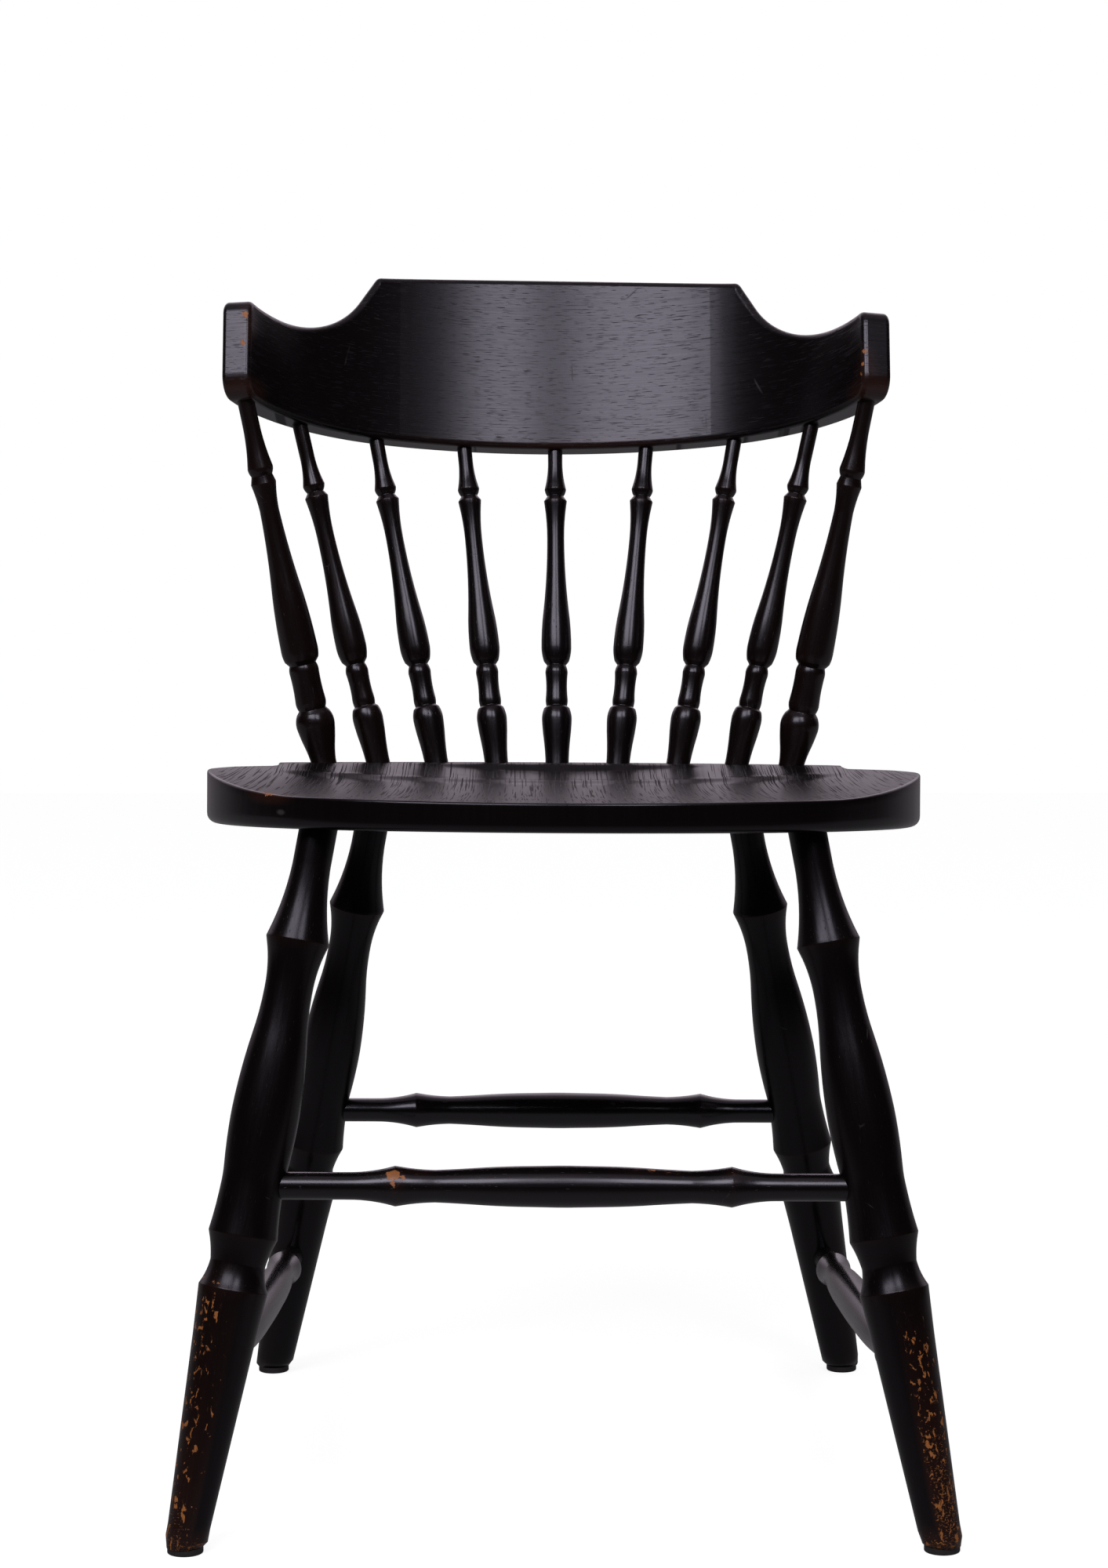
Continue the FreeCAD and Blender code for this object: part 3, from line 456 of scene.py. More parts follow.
def noise(tree, vector, scale=1.0, detail=1.0, output="Fac", **more):
    """A noise texture; more holds its Roughness or Distortion."""
    return add(tree, "ShaderNodeTexNoise", inputs={
        "Vector": vector, "Scale": scale, "Detail": detail, **more}).outputs[output]


# %% Group: open grain, with its scales in waves per metre
GRAIN_DRIFT, GRAIN_TONE = (14.0, 14.0, 4.0), (38.0, 38.0, 6.0)
NOISE_MIDDLE = (0.5, 0.5, 0.5)
PORE_SHAPE = (1.2, 1.2, 3.5)
PORE_LEVEL, PORE_SPREAD, PORE_EDGE = 0.82, 0.35, 0.07


def build_open_grain():
    tree, get = new_group("open_grain", "ShaderNodeTree", {
        "Place": ORIGIN, "Fibre width": 0.0009, "Fibre length": 0.03, "Pore share": 0.35,
        "Wander": 0.01})
    drift = noise(tree, times3(tree, get["Place"], GRAIN_DRIFT), output="Color")
    moved = plus3(tree, get["Place"], times3(
        tree, minus3(tree, drift, NOISE_MIDDLE), xyz(tree, get["Wander"], get["Wander"])))
    thin = over(tree, 1.0, get["Fibre width"])
    long = over(tree, 1.0, get["Fibre length"])
    drawn = times3(tree, moved, xyz(tree, thin, thin, long))
    fibre = noise(tree, drawn, scale=0.6, detail=4.0, Roughness=0.62)
    edge = minus(tree, PORE_LEVEL, times(tree, get["Pore share"], PORE_SPREAD))
    pores = ramp(tree, noise(tree, times3(tree, drawn, PORE_SHAPE)),
                 edge, plus(tree, edge, PORE_EDGE))
    tone = noise(tree, times3(tree, moved, GRAIN_TONE), detail=3.0)
    return put_out(tree, Fibre=fibre, Pores=pores, Tone=tone)


# %% Group: a soft mask round a place
SPOT_RIM, SPOT_CORE = 1.0, 0.25


def build_near_spot():
    tree, get = new_group("near_spot", "ShaderNodeTree", {
        "Place": ORIGIN, "Centre": ORIGIN, "Reach": (0.01, 0.01, 0.01)})
    away = length_of(tree, over3(tree, minus3(tree, get["Place"], get["Centre"]), get["Reach"]))
    return put_out(tree, Mask=ramp(tree, away, SPOT_RIM, SPOT_CORE))


# %% Group: one side of a turned piece, over a stretch of its length
SIDE_CORE = 0.4


def build_one_side():
    tree, get = new_group("one_side", "ShaderNodeTree", {
        "Outward": ORIGIN, "Along": 0.0, "Towards": (0.0, -1.0, 0.0), "Width": 0.4,
        "From": 0.0, "Rise": 0.1})
    facing = dot(tree, get["Outward"], get["Towards"])
    side = ramp(tree, facing, minus(tree, 1.0, get["Width"]),
                minus(tree, 1.0, times(tree, get["Width"], SIDE_CORE)))
    stretch = ramp(tree, get["Along"], get["From"], plus(tree, get["From"], get["Rise"]))
    return put_out(tree, Mask=times(tree, side, stretch))


# %% Group: flakes where the lacquer has come off
FLAKE_LEVEL, FLAKE_SPREAD, FLAKE_EDGE, FLAKE_RIM = 0.74, 0.30, 0.025, 0.05


def build_flakes():
    tree, get = new_group("flakes", "ShaderNodeTree", {
        "Place": ORIGIN, "Where": 0.0, "Size": 0.004, "Share": 0.5, "Squeeze": 0.55})
    scale = over(tree, 1.0, get["Size"])
    drawn = times3(tree, get["Place"], xyz(
        tree, scale, scale, times(tree, scale, get["Squeeze"])))
    ragged = noise(tree, drawn, scale=0.7, detail=5.0, Roughness=0.55, Distortion=0.6)
    level = plus(tree, ragged, times(tree, minus(tree, get["Where"], 1.0), FLAKE_SPREAD))
    edge = minus(tree, FLAKE_LEVEL, times(tree, get["Share"], FLAKE_SPREAD))
    return put_out(tree, Mask=ramp(tree, level, edge, plus(tree, edge, FLAKE_EDGE)),
                   Rim=ramp(tree, level, minus(tree, edge, FLAKE_RIM), edge))


# %% Group: fine scratches, on the borders of cells, in patches
SCRATCH_BEND = (0.5, 0.5, 0.5)
SCRATCH_RIM, SCRATCH_CORE = 0.008, 0.002
PATCH_LEVEL, PATCH_SPREAD, PATCH_EDGE = 0.75, 0.4, 0.06


def build_scratches():
    tree, get = new_group("scratches", "ShaderNodeTree", {
        "Place": ORIGIN, "Spacing": 0.05, "Share": 0.3})
    scale = over(tree, 1.0, get["Spacing"])
    grown = times3(tree, get["Place"], xyz(tree, scale, scale, scale))
    bent = plus3(tree, grown, times3(tree, noise(tree, grown, scale=0.8, output="Color"), SCRATCH_BEND))
    cells = add(tree, "ShaderNodeTexVoronoi", feature="DISTANCE_TO_EDGE",
                inputs={"Vector": bent, "Scale": 1.0}).outputs["Distance"]
    line = ramp(tree, cells, SCRATCH_RIM, SCRATCH_CORE, smooth=False)
    edge = minus(tree, PATCH_LEVEL, times(tree, get["Share"], PATCH_SPREAD))
    broken = ramp(tree, noise(tree, grown, scale=2.3, detail=2.0),
                  edge, plus(tree, edge, PATCH_EDGE), smooth=False)
    return put_out(tree, Mask=times(tree, line, broken))


# %% Group: the colour, roughness and relief of worn black lacquer
THIN_EVEN, THIN_BY_TONE = 0.35, 1.1
SCRATCH_GREY, SCRATCH_SHOWS, RIM_SHOWS = (0.06, 0.05, 0.05, 1.0), 0.5, 0.8
STREAK_CONTRAST, STREAK_START, DARK_STREAK = 1.5, -0.25, 0.55
ROUGH_BY_FIBRE, FIBRE_MIDDLE = 0.16, 0.5
ROUGHER = (("Pores", 0.30), ("Scratch", 0.2), ("Bare", 0.28))
DEPTHS = (("Pores", -0.7), ("Scratch", -0.4), ("Bare", -0.9))


def build_black_lacquer():
    tree, get = new_group("black_lacquer", "ShaderNodeTree", {
        "Fibre": 0.5, "Pores": 0.0, "Tone": 0.5, "Thin": 0.0, "Rim": 0.0, "Bare": 0.0,
        "Scratch": 0.0, "Satin": 0.3, "Fibre relief": 0.35,
        "Black": (0.0020, 0.0016, 0.0018, 1.0), "Brown": (0.024, 0.0085, 0.0050, 1.0),
        "Wood": (0.42, 0.145, 0.030, 1.0)})

    def blend(amount, first, second):
        return add(tree, "ShaderNodeMix", data_type="RGBA", inputs={
            0: amount, 6: first, 7: second}).outputs[2]

    thin = times(tree, get["Thin"], plus(
        tree, THIN_EVEN, times(tree, get["Tone"], THIN_BY_TONE)), clamp=True)
    colour = blend(thin, get["Black"], get["Brown"])
    colour = blend(times(tree, get["Scratch"], SCRATCH_SHOWS), colour, SCRATCH_GREY)
    colour = blend(times(tree, get["Rim"], RIM_SHOWS), colour, get["Brown"])
    streak = plus(tree, times(tree, get["Fibre"], STREAK_CONTRAST), STREAK_START, clamp=True)
    wood = blend(streak, blend(DARK_STREAK, get["Wood"], get["Brown"]), get["Wood"])
    colour = blend(get["Bare"], colour, wood)
    rough = plus(tree, get["Satin"], times(
        tree, minus(tree, get["Fibre"], FIBRE_MIDDLE), ROUGH_BY_FIBRE))
    for mask, more in ROUGHER:
        rough = plus(tree, rough, times(tree, get[mask], more))
    height = times(tree, get["Fibre"], get["Fibre relief"])
    for mask, depth in DEPTHS:
        height = plus(tree, height, times(tree, get[mask], depth))
    return put_out(tree, Color=colour, Roughness=rough, Height=height)


GROUPS = {
    "grain": build_open_grain(),
    "spot": build_near_spot(),
    "side": build_one_side(),
    "flakes": build_flakes(),
    "scratches": build_scratches(),
    "lacquer": build_black_lacquer(),
}
print("shader groups:", ", ".join(tree.name for tree in GROUPS.values()))

# %% [markdown]
# ## Finishes
# A finish places the groups in one material with its own values, and leaves
# the shader itself there, with its plain settings on its own sockets. Turned
# pieces read the place that the lathe stored. The crest and the seat are
# boards, so their grain reads two distances in Object coordinates, one across
# the board and one along its fibres. Depth is left out, because a sloping
# board would cut through a pattern in depth and turn it blotchy.


# %% Start and end of a finish
SPECULAR_TINT = (0.95, 0.92, 1.0, 1.0)
BUMP_STRENGTH = 0.6


def use(tree, group, **inputs):
    """A shared group as a node; underscores in names stand for spaces."""
    node = tree.nodes.new("ShaderNodeGroup")
    node.node_tree = GROUPS[group]
    for key, value in inputs.items():
        feed(tree, node.inputs[key.replace("_", " ")], value)
    return node


def start_finish(name, specular, coat=0.0, coat_roughness=0.1):
    material = bpy.data.materials.new(name)
    material.use_nodes = True
    tree = material.node_tree
    shader = tree.nodes["Principled BSDF"]
    for socket, value in (("Specular IOR Level", specular), ("Specular Tint", SPECULAR_TINT),
                          ("Coat Weight", coat), ("Coat Roughness", coat_roughness)):
        shader.inputs[socket].default_value = value
    return material, tree, shader


def end_finish(tree, shader, colour, roughness, height, relief, strength=BUMP_STRENGTH):
    """Links the surface to the shader; relief is the height of its bumps in metres."""
    bump = add(tree, "ShaderNodeBump", inputs={
        "Strength": strength, "Distance": relief, "Height": height})
    tree.links.new(colour, shader.inputs["Base Color"])
    tree.links.new(roughness, shader.inputs["Roughness"])
    tree.links.new(bump.outputs[0], shader.inputs["Normal"])


def lacquered(tree, shader, grain, relief, **inputs):
    """Ends a finish with the lacquer over its grain; inputs are the lacquer's others."""
    inputs.setdefault("Pores", grain.outputs["Pores"])
    surface = use(tree, "lacquer", Fibre=grain.outputs["Fibre"], Tone=grain.outputs["Tone"],
                  **inputs).outputs
    end_finish(tree, shader, surface["Color"], surface["Roughness"], surface["Height"], relief)


# %% Masks of a finish
def attribute(tree, name, output="Fac"):
    return add(tree, "ShaderNodeAttribute", attribute_name=name).outputs[output]


def object_place(tree):
    return add(tree, "ShaderNodeTexCoord").outputs["Object"]


def most(tree, masks):
    """The strongest of several masks, or nothing where there are none."""
    total = masks[0] if masks else 0.0
    for mask in masks[1:]:
        total = larger(tree, total, mask)
    return total


def spot_mask(tree, here, centre, reach):
    return use(tree, "spot", Place=here, Centre=centre, Reach=reach).outputs[0]


def spot_masks(tree, here, spots):
    """One mask for each (centre, reach, strength), in Object space."""
    return [times(tree, spot_mask(tree, here, centre, reach), strength)
            for centre, reach, strength in spots]


# %% The finish of turned pieces
TURNED_GRAIN = {"Fibre_width": 0.0008, "Fibre_length": 0.022, "Pore_share": 0.3}
TURNED_SCRATCHES = {"Spacing": 0.04, "Share": 0.2}
TURNED_RELIEF = 0.00012
FINE_MARKS = {"Size": 0.0011, "Share": 0.60, "Squeeze": 2.0}
MARKS_SHOW, BROWN_BY_WEAR, BROWN_BY_MARKS = 0.6, 0.25, 0.55
RIDGE_SHARPNESS, BROWN_BY_RIDGE = 3.0, 0.5
COAT_ROUGHNESS = 0.16


def turned_finish(name, satin, share, flake, thin=0.05, wear=(), spots=(), specular=0.5,
                  coat=0.2, rub=None):
    """Black lacquer on a turned piece.

    wear holds (towards, width, from, rise, strength) for flaked sides, and
    spots holds (centre, reach, strength) for worn places, in Object space.
    rub is (from, rise): there the worn sides also get fine marks across the
    grain, and the lacquer between them wears brown.
    """
    material, tree, shader = start_finish(name, specular, coat, COAT_ROUGHNESS)
    place = attribute(tree, "turned_at", "Vector")
    outward = attribute(tree, "outward", "Vector")
    along = attribute(tree, "along")
    masks = [times(tree, use(
        tree, "side", Outward=outward, Along=along, Towards=towards, Width=width,
        From=start, Rise=rise).outputs[0], strength) for towards, width, start, rise, strength in wear]
    where = most(tree, masks + spot_masks(tree, object_place(tree), spots))
    flakes = use(tree, "flakes", Place=place, Where=where, Size=flake, Share=share)
    bare, brown = flakes.outputs["Mask"], times(tree, where, BROWN_BY_WEAR)
    if rub:
        marked = times(tree, where, ramp(tree, along, rub[0], rub[0] + rub[1]))
        marks = use(tree, "flakes", Place=place, Where=marked, **FINE_MARKS)
        bare = larger(tree, bare, times(tree, marks.outputs["Mask"], MARKS_SHOW))
        brown = plus(tree, brown, times(tree, marked, BROWN_BY_MARKS))
    rubbed = times(tree, larger(tree, attribute(tree, "ridge"), 0.0),
                  RIDGE_SHARPNESS, clamp=True)
    worn_thin = plus(tree, times(tree, rubbed, BROWN_BY_RIDGE), thin)
    lacquered(tree, shader, use(tree, "grain", Place=place, **TURNED_GRAIN), TURNED_RELIEF,
              Thin=plus(tree, worn_thin, brown), Rim=flakes.outputs["Rim"], Bare=bare,
              Scratch=use(tree, "scratches", Place=place, **TURNED_SCRATCHES).outputs[0],
              Satin=satin)
    return material


# %% The finish of the crest and the seat
BOARD_CHIPS = {"Size": 0.0035, "Share": 0.6}
BOARD_THIN = 0.04


def board_finish(name, across, along, satin, grain, relief, fibre_relief, scratches,
                 bare_spots, nicks, thin_spots, specular=0.5, wall_satin=None):
    """Black lacquer on a board; across and along are directions of its grain.

    Spots hold (centre, reach, strength) and nicks (centre, reach), in Object
    space. wall_satin is the roughness where the attribute on_top is zero.
    """
    material, tree, shader = start_finish(name, specular)
    here = object_place(tree)
    place = xyz(tree, y=dot(tree, here, across), z=dot(tree, here, along))
    grain = use(tree, "grain", Place=place, **grain)
    flakes = use(tree, "flakes", Place=here, Where=most(tree, spot_masks(tree, here, bare_spots)),
                 **BOARD_CHIPS)
    scratch = [use(tree, "scratches", Place=here, **scratches).outputs[0]]
    scratch += [spot_mask(tree, here, centre, reach) for centre, reach in nicks]
    pores = grain.outputs["Pores"]
    if wall_satin:
        top = attribute(tree, "on_top")
        pores = times(tree, pores, top)
        satin = ramp(tree, top, 0.0, 1.0, wall_satin, satin, smooth=False)
    brown = most(tree, spot_masks(tree, here, thin_spots))
    lacquered(tree, shader, grain, relief, Pores=pores, Thin=plus(tree, brown, BOARD_THIN),
              Rim=flakes.outputs["Rim"], Bare=flakes.outputs["Mask"],
              Scratch=most(tree, scratch), Satin=satin, Fibre_relief=fibre_relief)
    print(name, "with", len(tree.nodes), "nodes")
    return material


# %% [markdown]
# ## Where the pieces go
# The legs start under the tilted seat and end on the floor. The spindles
# start on an arc on the seat and end in the middle of the bent crest board.
# These are the same few sizes as in the CAD model, so each turned piece lands
# exactly in its node's place, which the lesson prints.

# %% Sizes shared with the CAD model, in mm and degrees
SEAT_SHIFT, SEAT_HEIGHT, SEAT_THICKNESS = 1.5, 441.4, 34.3
SEAT_SIDEWAYS, SEAT_BACKWARDS, CREST_BACKWARDS = 0.35, -2.6, -14.0
SEAT_TURN = (Matrix.Rotation(math.radians(SEAT_SIDEWAYS), 3, "Y")
             @ Matrix.Rotation(math.radians(SEAT_BACKWARDS), 3, "X"))
LEG_TOPS = {"front": (144.4, -162.2), "rear": (125.4, 139.8)}
LEG_FEET = {"front": (220.0, -230.2), "rear": (201.6, 215.0)}
ARC_RADIUS, ARC_AT, ARC_SHIFT = 290.0, 150.8, -1.0
SPINDLE_STEP, POST_STEP, CREST_STEP = 8.2, 7.95, 63.1
CREST_AT = Vector((-2.0, 203.8, 647.0))
CREST_TURN = Matrix.Rotation(math.radians(CREST_BACKWARDS), 3, "X")
BOW, ARM, BOW_HALF = 300.0, 163.0, 110.0
SIDES = {-1: "left", 1: "right"}
UP = Vector((0, 0, 1))


# %% A point of the seat plane, and of the crest's centre line
def seat_plane(x, y, drop):
    up = SEAT_TURN @ UP
    z = SEAT_HEIGHT - ((x - SEAT_SHIFT) * up.x + y * up.y + drop) / up.z
    return Vector((x, y, z))


def crest_point(length):
    side = -1 if length < 0 else 1
    length = abs(length)
    turn = math.asin(BOW_HALF / BOW)
    if length <= BOW * turn:
        angle = length / BOW
        local = Vector((side * BOW * math.sin(angle), BOW * (math.cos(angle) - 1), 0))
    else:
        angle = turn + (length - BOW * turn) / ARM
        x = (BOW - ARM) * math.sin(turn) + ARM * math.sin(angle)
        y = (BOW - ARM) * math.cos(turn) - BOW + ARM * math.cos(angle)
        local = Vector((side * x, y, 0))
    return CREST_AT + CREST_TURN @ local


# %% [markdown]
# ## Legs
# Each leg is one turning with a ridge under the seat, a swell, a double ring
# and a tapering foot. The outer sides of the front feet have lost most of
# their lacquer to shoes and brooms, so their finish has a flaked side that
# grows denser towards the floor.

# %% Wear of the legs: flaked sides, worn feet and the size of the flakes
LEG_WEAR = {
    ("front", -1): dict(
        wear=[((-0.70, -0.71, 0.0), 0.36, 0.245, 0.035, 0.93),
              ((-0.10, -0.99, 0.0), 0.16, 0.250, 0.05, 0.72)],
        spots=[((-0.2200, -0.2300, 0.004), (0.045, 0.045, 0.016), 0.95)],
        share=0.56, flake=0.0022, rub=(0.30, 0.14)),
    ("front", 1): dict(
        wear=[((0.42, -0.91, 0.0), 0.32, 0.255, 0.06, 0.93),
              ((0.90, -0.43, 0.0), 0.20, 0.330, 0.06, 0.80)],
        spots=[((0.2200, -0.2300, 0.004), (0.045, 0.045, 0.018), 0.98)],
        share=0.60, flake=0.0020, rub=(0.27, 0.12)),
    ("rear", -1): dict(
        wear=[((-0.6, -0.8, 0.0), 0.15, 0.25, 0.2, 0.75)], share=0.55, flake=0.0028),
    ("rear", 1): dict(
        wear=[((0.6, -0.8, 0.0), 0.15, 0.25, 0.2, 0.72)], share=0.55, flake=0.0028),
}

# %% Turn the legs
FOOT = (0.004, 0.0018)
FIRST_LEG_GRAIN = 1

legs = {}
for number, ((end, side), worn) in enumerate(LEG_WEAR.items()):
    top = seat_plane(side * LEG_TOPS[end][0], LEG_TOPS[end][1], SEAT_THICKNESS)
    foot = Vector((side * LEG_FEET[end][0], LEG_FEET[end][1], 0.0))
    axis = (foot - top).normalized()
    legs[end, side] = (top, axis)
    finish = turned_finish("leg_finish_%s_%s" % (end, SIDES[side]), satin=0.26, specular=0.27,
                           coat=0.0, **worn)
    turn_piece("leg_%s_%s" % (end, SIDES[side]), LEG, -LEG_TENON,
               (foot - top).length + LEG_SAWN_OFF, top * MM, axis, finish,
               facets=LEG_FACETS, seed=number + FIRST_LEG_GRAIN, floor=FOOT)

# %% [markdown]
# ## Stretchers
# The four stretchers have the same rings on both sides of their middle. Feet
# rest on the front one, so the top of its left ring is bare wood and the
# right ring is rubbed thin.

# %% Turn the stretchers
FIRST_STRETCHER_GRAIN = 11
JOINTS = [
    ("stretcher_front", STRETCHER, ("front", -1), ("front", 1), 213.0, 213.0),
    ("stretcher_rear", STRETCHER, ("rear", -1), ("rear", 1), 217.0, 217.0),
    ("stretcher_left", SIDE_STRETCHER, ("rear", -1), ("front", -1), 325.0, 323.0),
    ("stretcher_right", SIDE_STRETCHER, ("rear", 1), ("front", 1), 325.0, 323.0),
]
for number, (label, rings, first, second, drop_a, drop_b) in enumerate(JOINTS):
    a = legs[first][0] + legs[first][1] * drop_a
    b = legs[second][0] + legs[second][1] * drop_b
    half = (b - a).length / 2 - STRETCHER_SHORT
    middle, axis = (a + b) / 2, (b - a).normalized()
    spots = []
    if label == "stretcher_front":
        left_ring = (middle - axis * STRETCHER_RING) * MM
        right_ring = (middle + axis * STRETCHER_RING) * MM
        spots = [
            (left_ring + Vector((0.0, -0.0095, 0.0070)), (0.0105, 0.012, 0.0110), 1.38),
            (right_ring + Vector((0.0, -0.007, 0.008)), (0.008, 0.014, 0.006), 0.80),
            (left_ring + Vector((0.014, -0.006, 0.010)), (0.016, 0.012, 0.006), 0.90),
            (Vector((0.055, left_ring.y - 0.006, left_ring.z + 0.011)), (0.034, 0.012, 0.006), 0.92),
        ]
    finish = turned_finish(label + "_finish", satin=0.25, spots=spots, share=0.62, flake=0.0030)
    turn_piece(label, both_ways(rings), -half, half, middle * MM, axis, finish,
               facets=STRETCHER_FACETS, seed=number + FIRST_STRETCHER_GRAIN)

# %% [markdown]
# ## Spindles
# Nine spindles fan out from an arc on the seat to the crest, the outermost
# two stouter. The lacquer on the outer ones is thinner and browner, and the
# top of the far left one has two small chips.

# %% Turn the spindles
OUTERMOST, MIDDLE_SPINDLE_GRAIN = 4, 25
THIN_MIDDLE, THIN_STEP = 0.05, 0.04
POST_CHIPS = [
    ((-0.2090, 0.112, 0.6700), (0.0030, 0.02, 0.0035), 1.45),
    ((-0.2098, 0.115, 0.6645), (0.0035, 0.02, 0.0035), 1.50),
]
for number in range(-OUTERMOST, OUTERMOST + 1):
    post = abs(number) == OUTERMOST
    angle = min(abs(number), OUTERMOST - 1) * SPINDLE_STEP + (POST_STEP if post else 0.0)
    angle = math.radians(angle)
    side = -1 if number < 0 else 1
    base = seat_plane(ARC_SHIFT + side * ARC_RADIUS * math.sin(angle),
                      ARC_AT - ARC_RADIUS * (1 - math.cos(angle)), 0.0)
    top = crest_point(number * CREST_STEP)
    axis = (top - base).normalized()
    label = "middle" if number == 0 else "%s_%d" % (SIDES[side], abs(number))
    finish = turned_finish("spindle_%s_finish" % label, satin=0.25, specular=0.42, coat=0.08,
                           thin=THIN_MIDDLE + THIN_STEP * abs(number), share=0.6, flake=0.003,
                           spots=POST_CHIPS if number == -OUTERMOST else ())
    turn_piece("spindle_" + label, POST if post else SPINDLE, -SPINDLE_TENON,
               (top - base).length + (POST_TOP if post else SPINDLE_TOP), base * MM, axis, finish,
               facets=SPINDLE_FACETS, seed=number + MIDDLE_SPINDLE_GRAIN)

# %% [markdown]
# ## Crest rail
# The crest's CAD surface already has its rounded edges, so it stays and only
# gets its finish. Hands have chipped the lacquer along the inner edges of the
# ears and thinned it to brown under them and along the lower edge.

# %% Crest finish
crest_finish = board_finish(
    "crest_finish", across=CREST_TURN @ UP, along=(1.0, 0.0, 0.0), satin=0.28,
    grain={"Fibre_width": 0.0006, "Fibre_length": 0.030, "Pore_share": 0.50, "Wander": 0.0015},
    relief=0.00010, fibre_relief=0.12, scratches={"Spacing": 0.09, "Share": 0.35},
    bare_spots=[
        ((-0.2062, 0.080, 0.7335), (0.0055, 0.02, 0.0050), 1.35),
        ((-0.2060, 0.080, 0.7150), (0.0060, 0.02, 0.0055), 1.40),
        ((0.1996, 0.080, 0.7085), (0.0040, 0.02, 0.0040), 1.40),
        ((0.1987, 0.080, 0.7008), (0.0035, 0.02, 0.0040), 1.35),
        ((0.1977, 0.080, 0.6941), (0.0035, 0.02, 0.0040), 1.40),
    ],
    nicks=[
        ((0.0375, 0.185, 0.7395), (0.0030, 0.02, 0.0012)),
        ((0.0405, 0.185, 0.7415), (0.0012, 0.02, 0.0024)),
        ((0.0800, 0.175, 0.7290), (0.0010, 0.02, 0.0070)),
    ],
    thin_spots=[
        ((-0.208, 0.078, 0.682), (0.024, 0.04, 0.016), 1.0),
        ((0.206, 0.078, 0.682), (0.024, 0.04, 0.016), 1.0),
        ((-0.205, 0.075, 0.728), (0.010, 0.03, 0.024), 0.7),
        ((0.201, 0.075, 0.697), (0.010, 0.03, 0.024), 0.7),
        ((0.0, 0.175, 0.638), (0.26, 0.20, 0.026), 1.0),
    ])


def paint(node, finish):
    """Gives a CAD node its finish in every material slot."""
    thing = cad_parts[node]
    for slot in thing.material_slots:
        slot.material = finish
    if not thing.material_slots:
        thing.data.materials.append(finish)
    print(node, "painted with", finish.name)


paint("crest_rail", crest_finish)

# %% [markdown]
# ## Seat
# The seat's rim is sharp in CAD, and a real one is eased with sandpaper and
# catches a thin line of light. A bevel on the CAD triangles would shade in
# wedges, so rays measure the CAD seat on a fine grid of rings instead, and
# the grid becomes the mesh: over the top, round the eased rim and down the
# wall. A soft ridge runs along the crease where the deck meets the dish. The
# blind holes stay closed, because the tenons hide them.

# %% Seat finish
seat_finish = board_finish(
    "seat_finish", across=(1.0, 0.0, 0.0), along=(0.0, 1.0, 0.0), satin=0.34, wall_satin=0.22,
    specular=0.40,
    grain={"Fibre_width": 0.0011, "Fibre_length": 0.30, "Pore_share": 0.72, "Wander": 0.004},
    relief=0.00018, fibre_relief=0.25, scratches={"Spacing": 0.12, "Share": 0.15},
    bare_spots=[((-0.1735, -0.164, 0.4362), (0.0080, 0.03, 0.0040), 1.25)],
    nicks=[((-0.1657, -0.1756, 0.4258), (0.0034, 0.02, 0.0022))],
    thin_spots=[
        ((0.0, -0.2, 0.405), (0.32, 0.14, 0.014), 1.0),
        ((-0.173, -0.166, 0.436), (0.022, 0.05, 0.008), 0.9),
    ])

# %% Rays that measure the CAD seat
SEAT_RINGS, SEAT_RAYS = 92, 400
RAY_OFFSET = 0.37
OVERHEAD = 1.0

source = bmesh.new()
source.from_mesh(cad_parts["seat"].data)
CAD_SEAT = BVHTree.FromBMesh(source)
source.free()
SEAT_CENTRE = Vector((SEAT_SHIFT * MM, 0.0, 0.0))
WAYS = [Vector((math.cos(t), math.sin(t), 0.0))
        for t in (math.tau * (j + RAY_OFFSET) / SEAT_RAYS for j in range(SEAT_RAYS))]
print("seat grid of", SEAT_RINGS, "rings and", SEAT_RAYS, "rays")


# %% Heights of the seat's top
DECK_FRONT, DECK_FRONT_RADIUS, DECK_HALF_WIDTH, DECK_FADE = 86.0, 441.0, 187.0, 40.0
HOLE_REGION, HOLE_DROP, HOLE_START, LEVEL_ENOUGH = 90.0, 13.5, 3, 0.9
RIDGE_HEIGHT, RIDGE_REACH = 2.2, 6.0
BRIDGING_PASSES, SMOOTHING_PASSES = 120, 4


def over_the_crease(x, y):
    """Height in mm of the soft ridge where the deck runs out into the dish."""
    inner = min(abs(x - SEAT_SHIFT), DECK_HALF_WIDTH)
    crease = DECK_FRONT - DECK_FRONT_RADIUS + math.sqrt(DECK_FRONT_RADIUS ** 2 - inner ** 2)
    fade = min(1.0, max(0.0, (DECK_HALF_WIDTH - inner) / DECK_FADE))
    return RIDGE_HEIGHT * fade * math.exp(-((y - crease) / RIDGE_REACH) ** 2)


def top_point(way, radius, ring):
    """Height of the top in metres, and whether the ray fell into a spindle's hole."""
    x, y = (way * radius * (ring + 1) / SEAT_RINGS).xy
    x += SEAT_SHIFT * MM
    plane = seat_plane(x / MM, y / MM, 0.0).z * MM
    place, normal, _, _ = CAD_SEAT.ray_cast(Vector((x, y, OVERHEAD)), -UP)
    on_deck = y / MM > HOLE_REGION
    if place is None or on_deck and (normal.z < LEVEL_ENOUGH or plane - place.z > HOLE_DROP * MM):
        return plane - HOLE_START * MM, True
    return place.z + over_the_crease(x / MM, y / MM) * MM, False


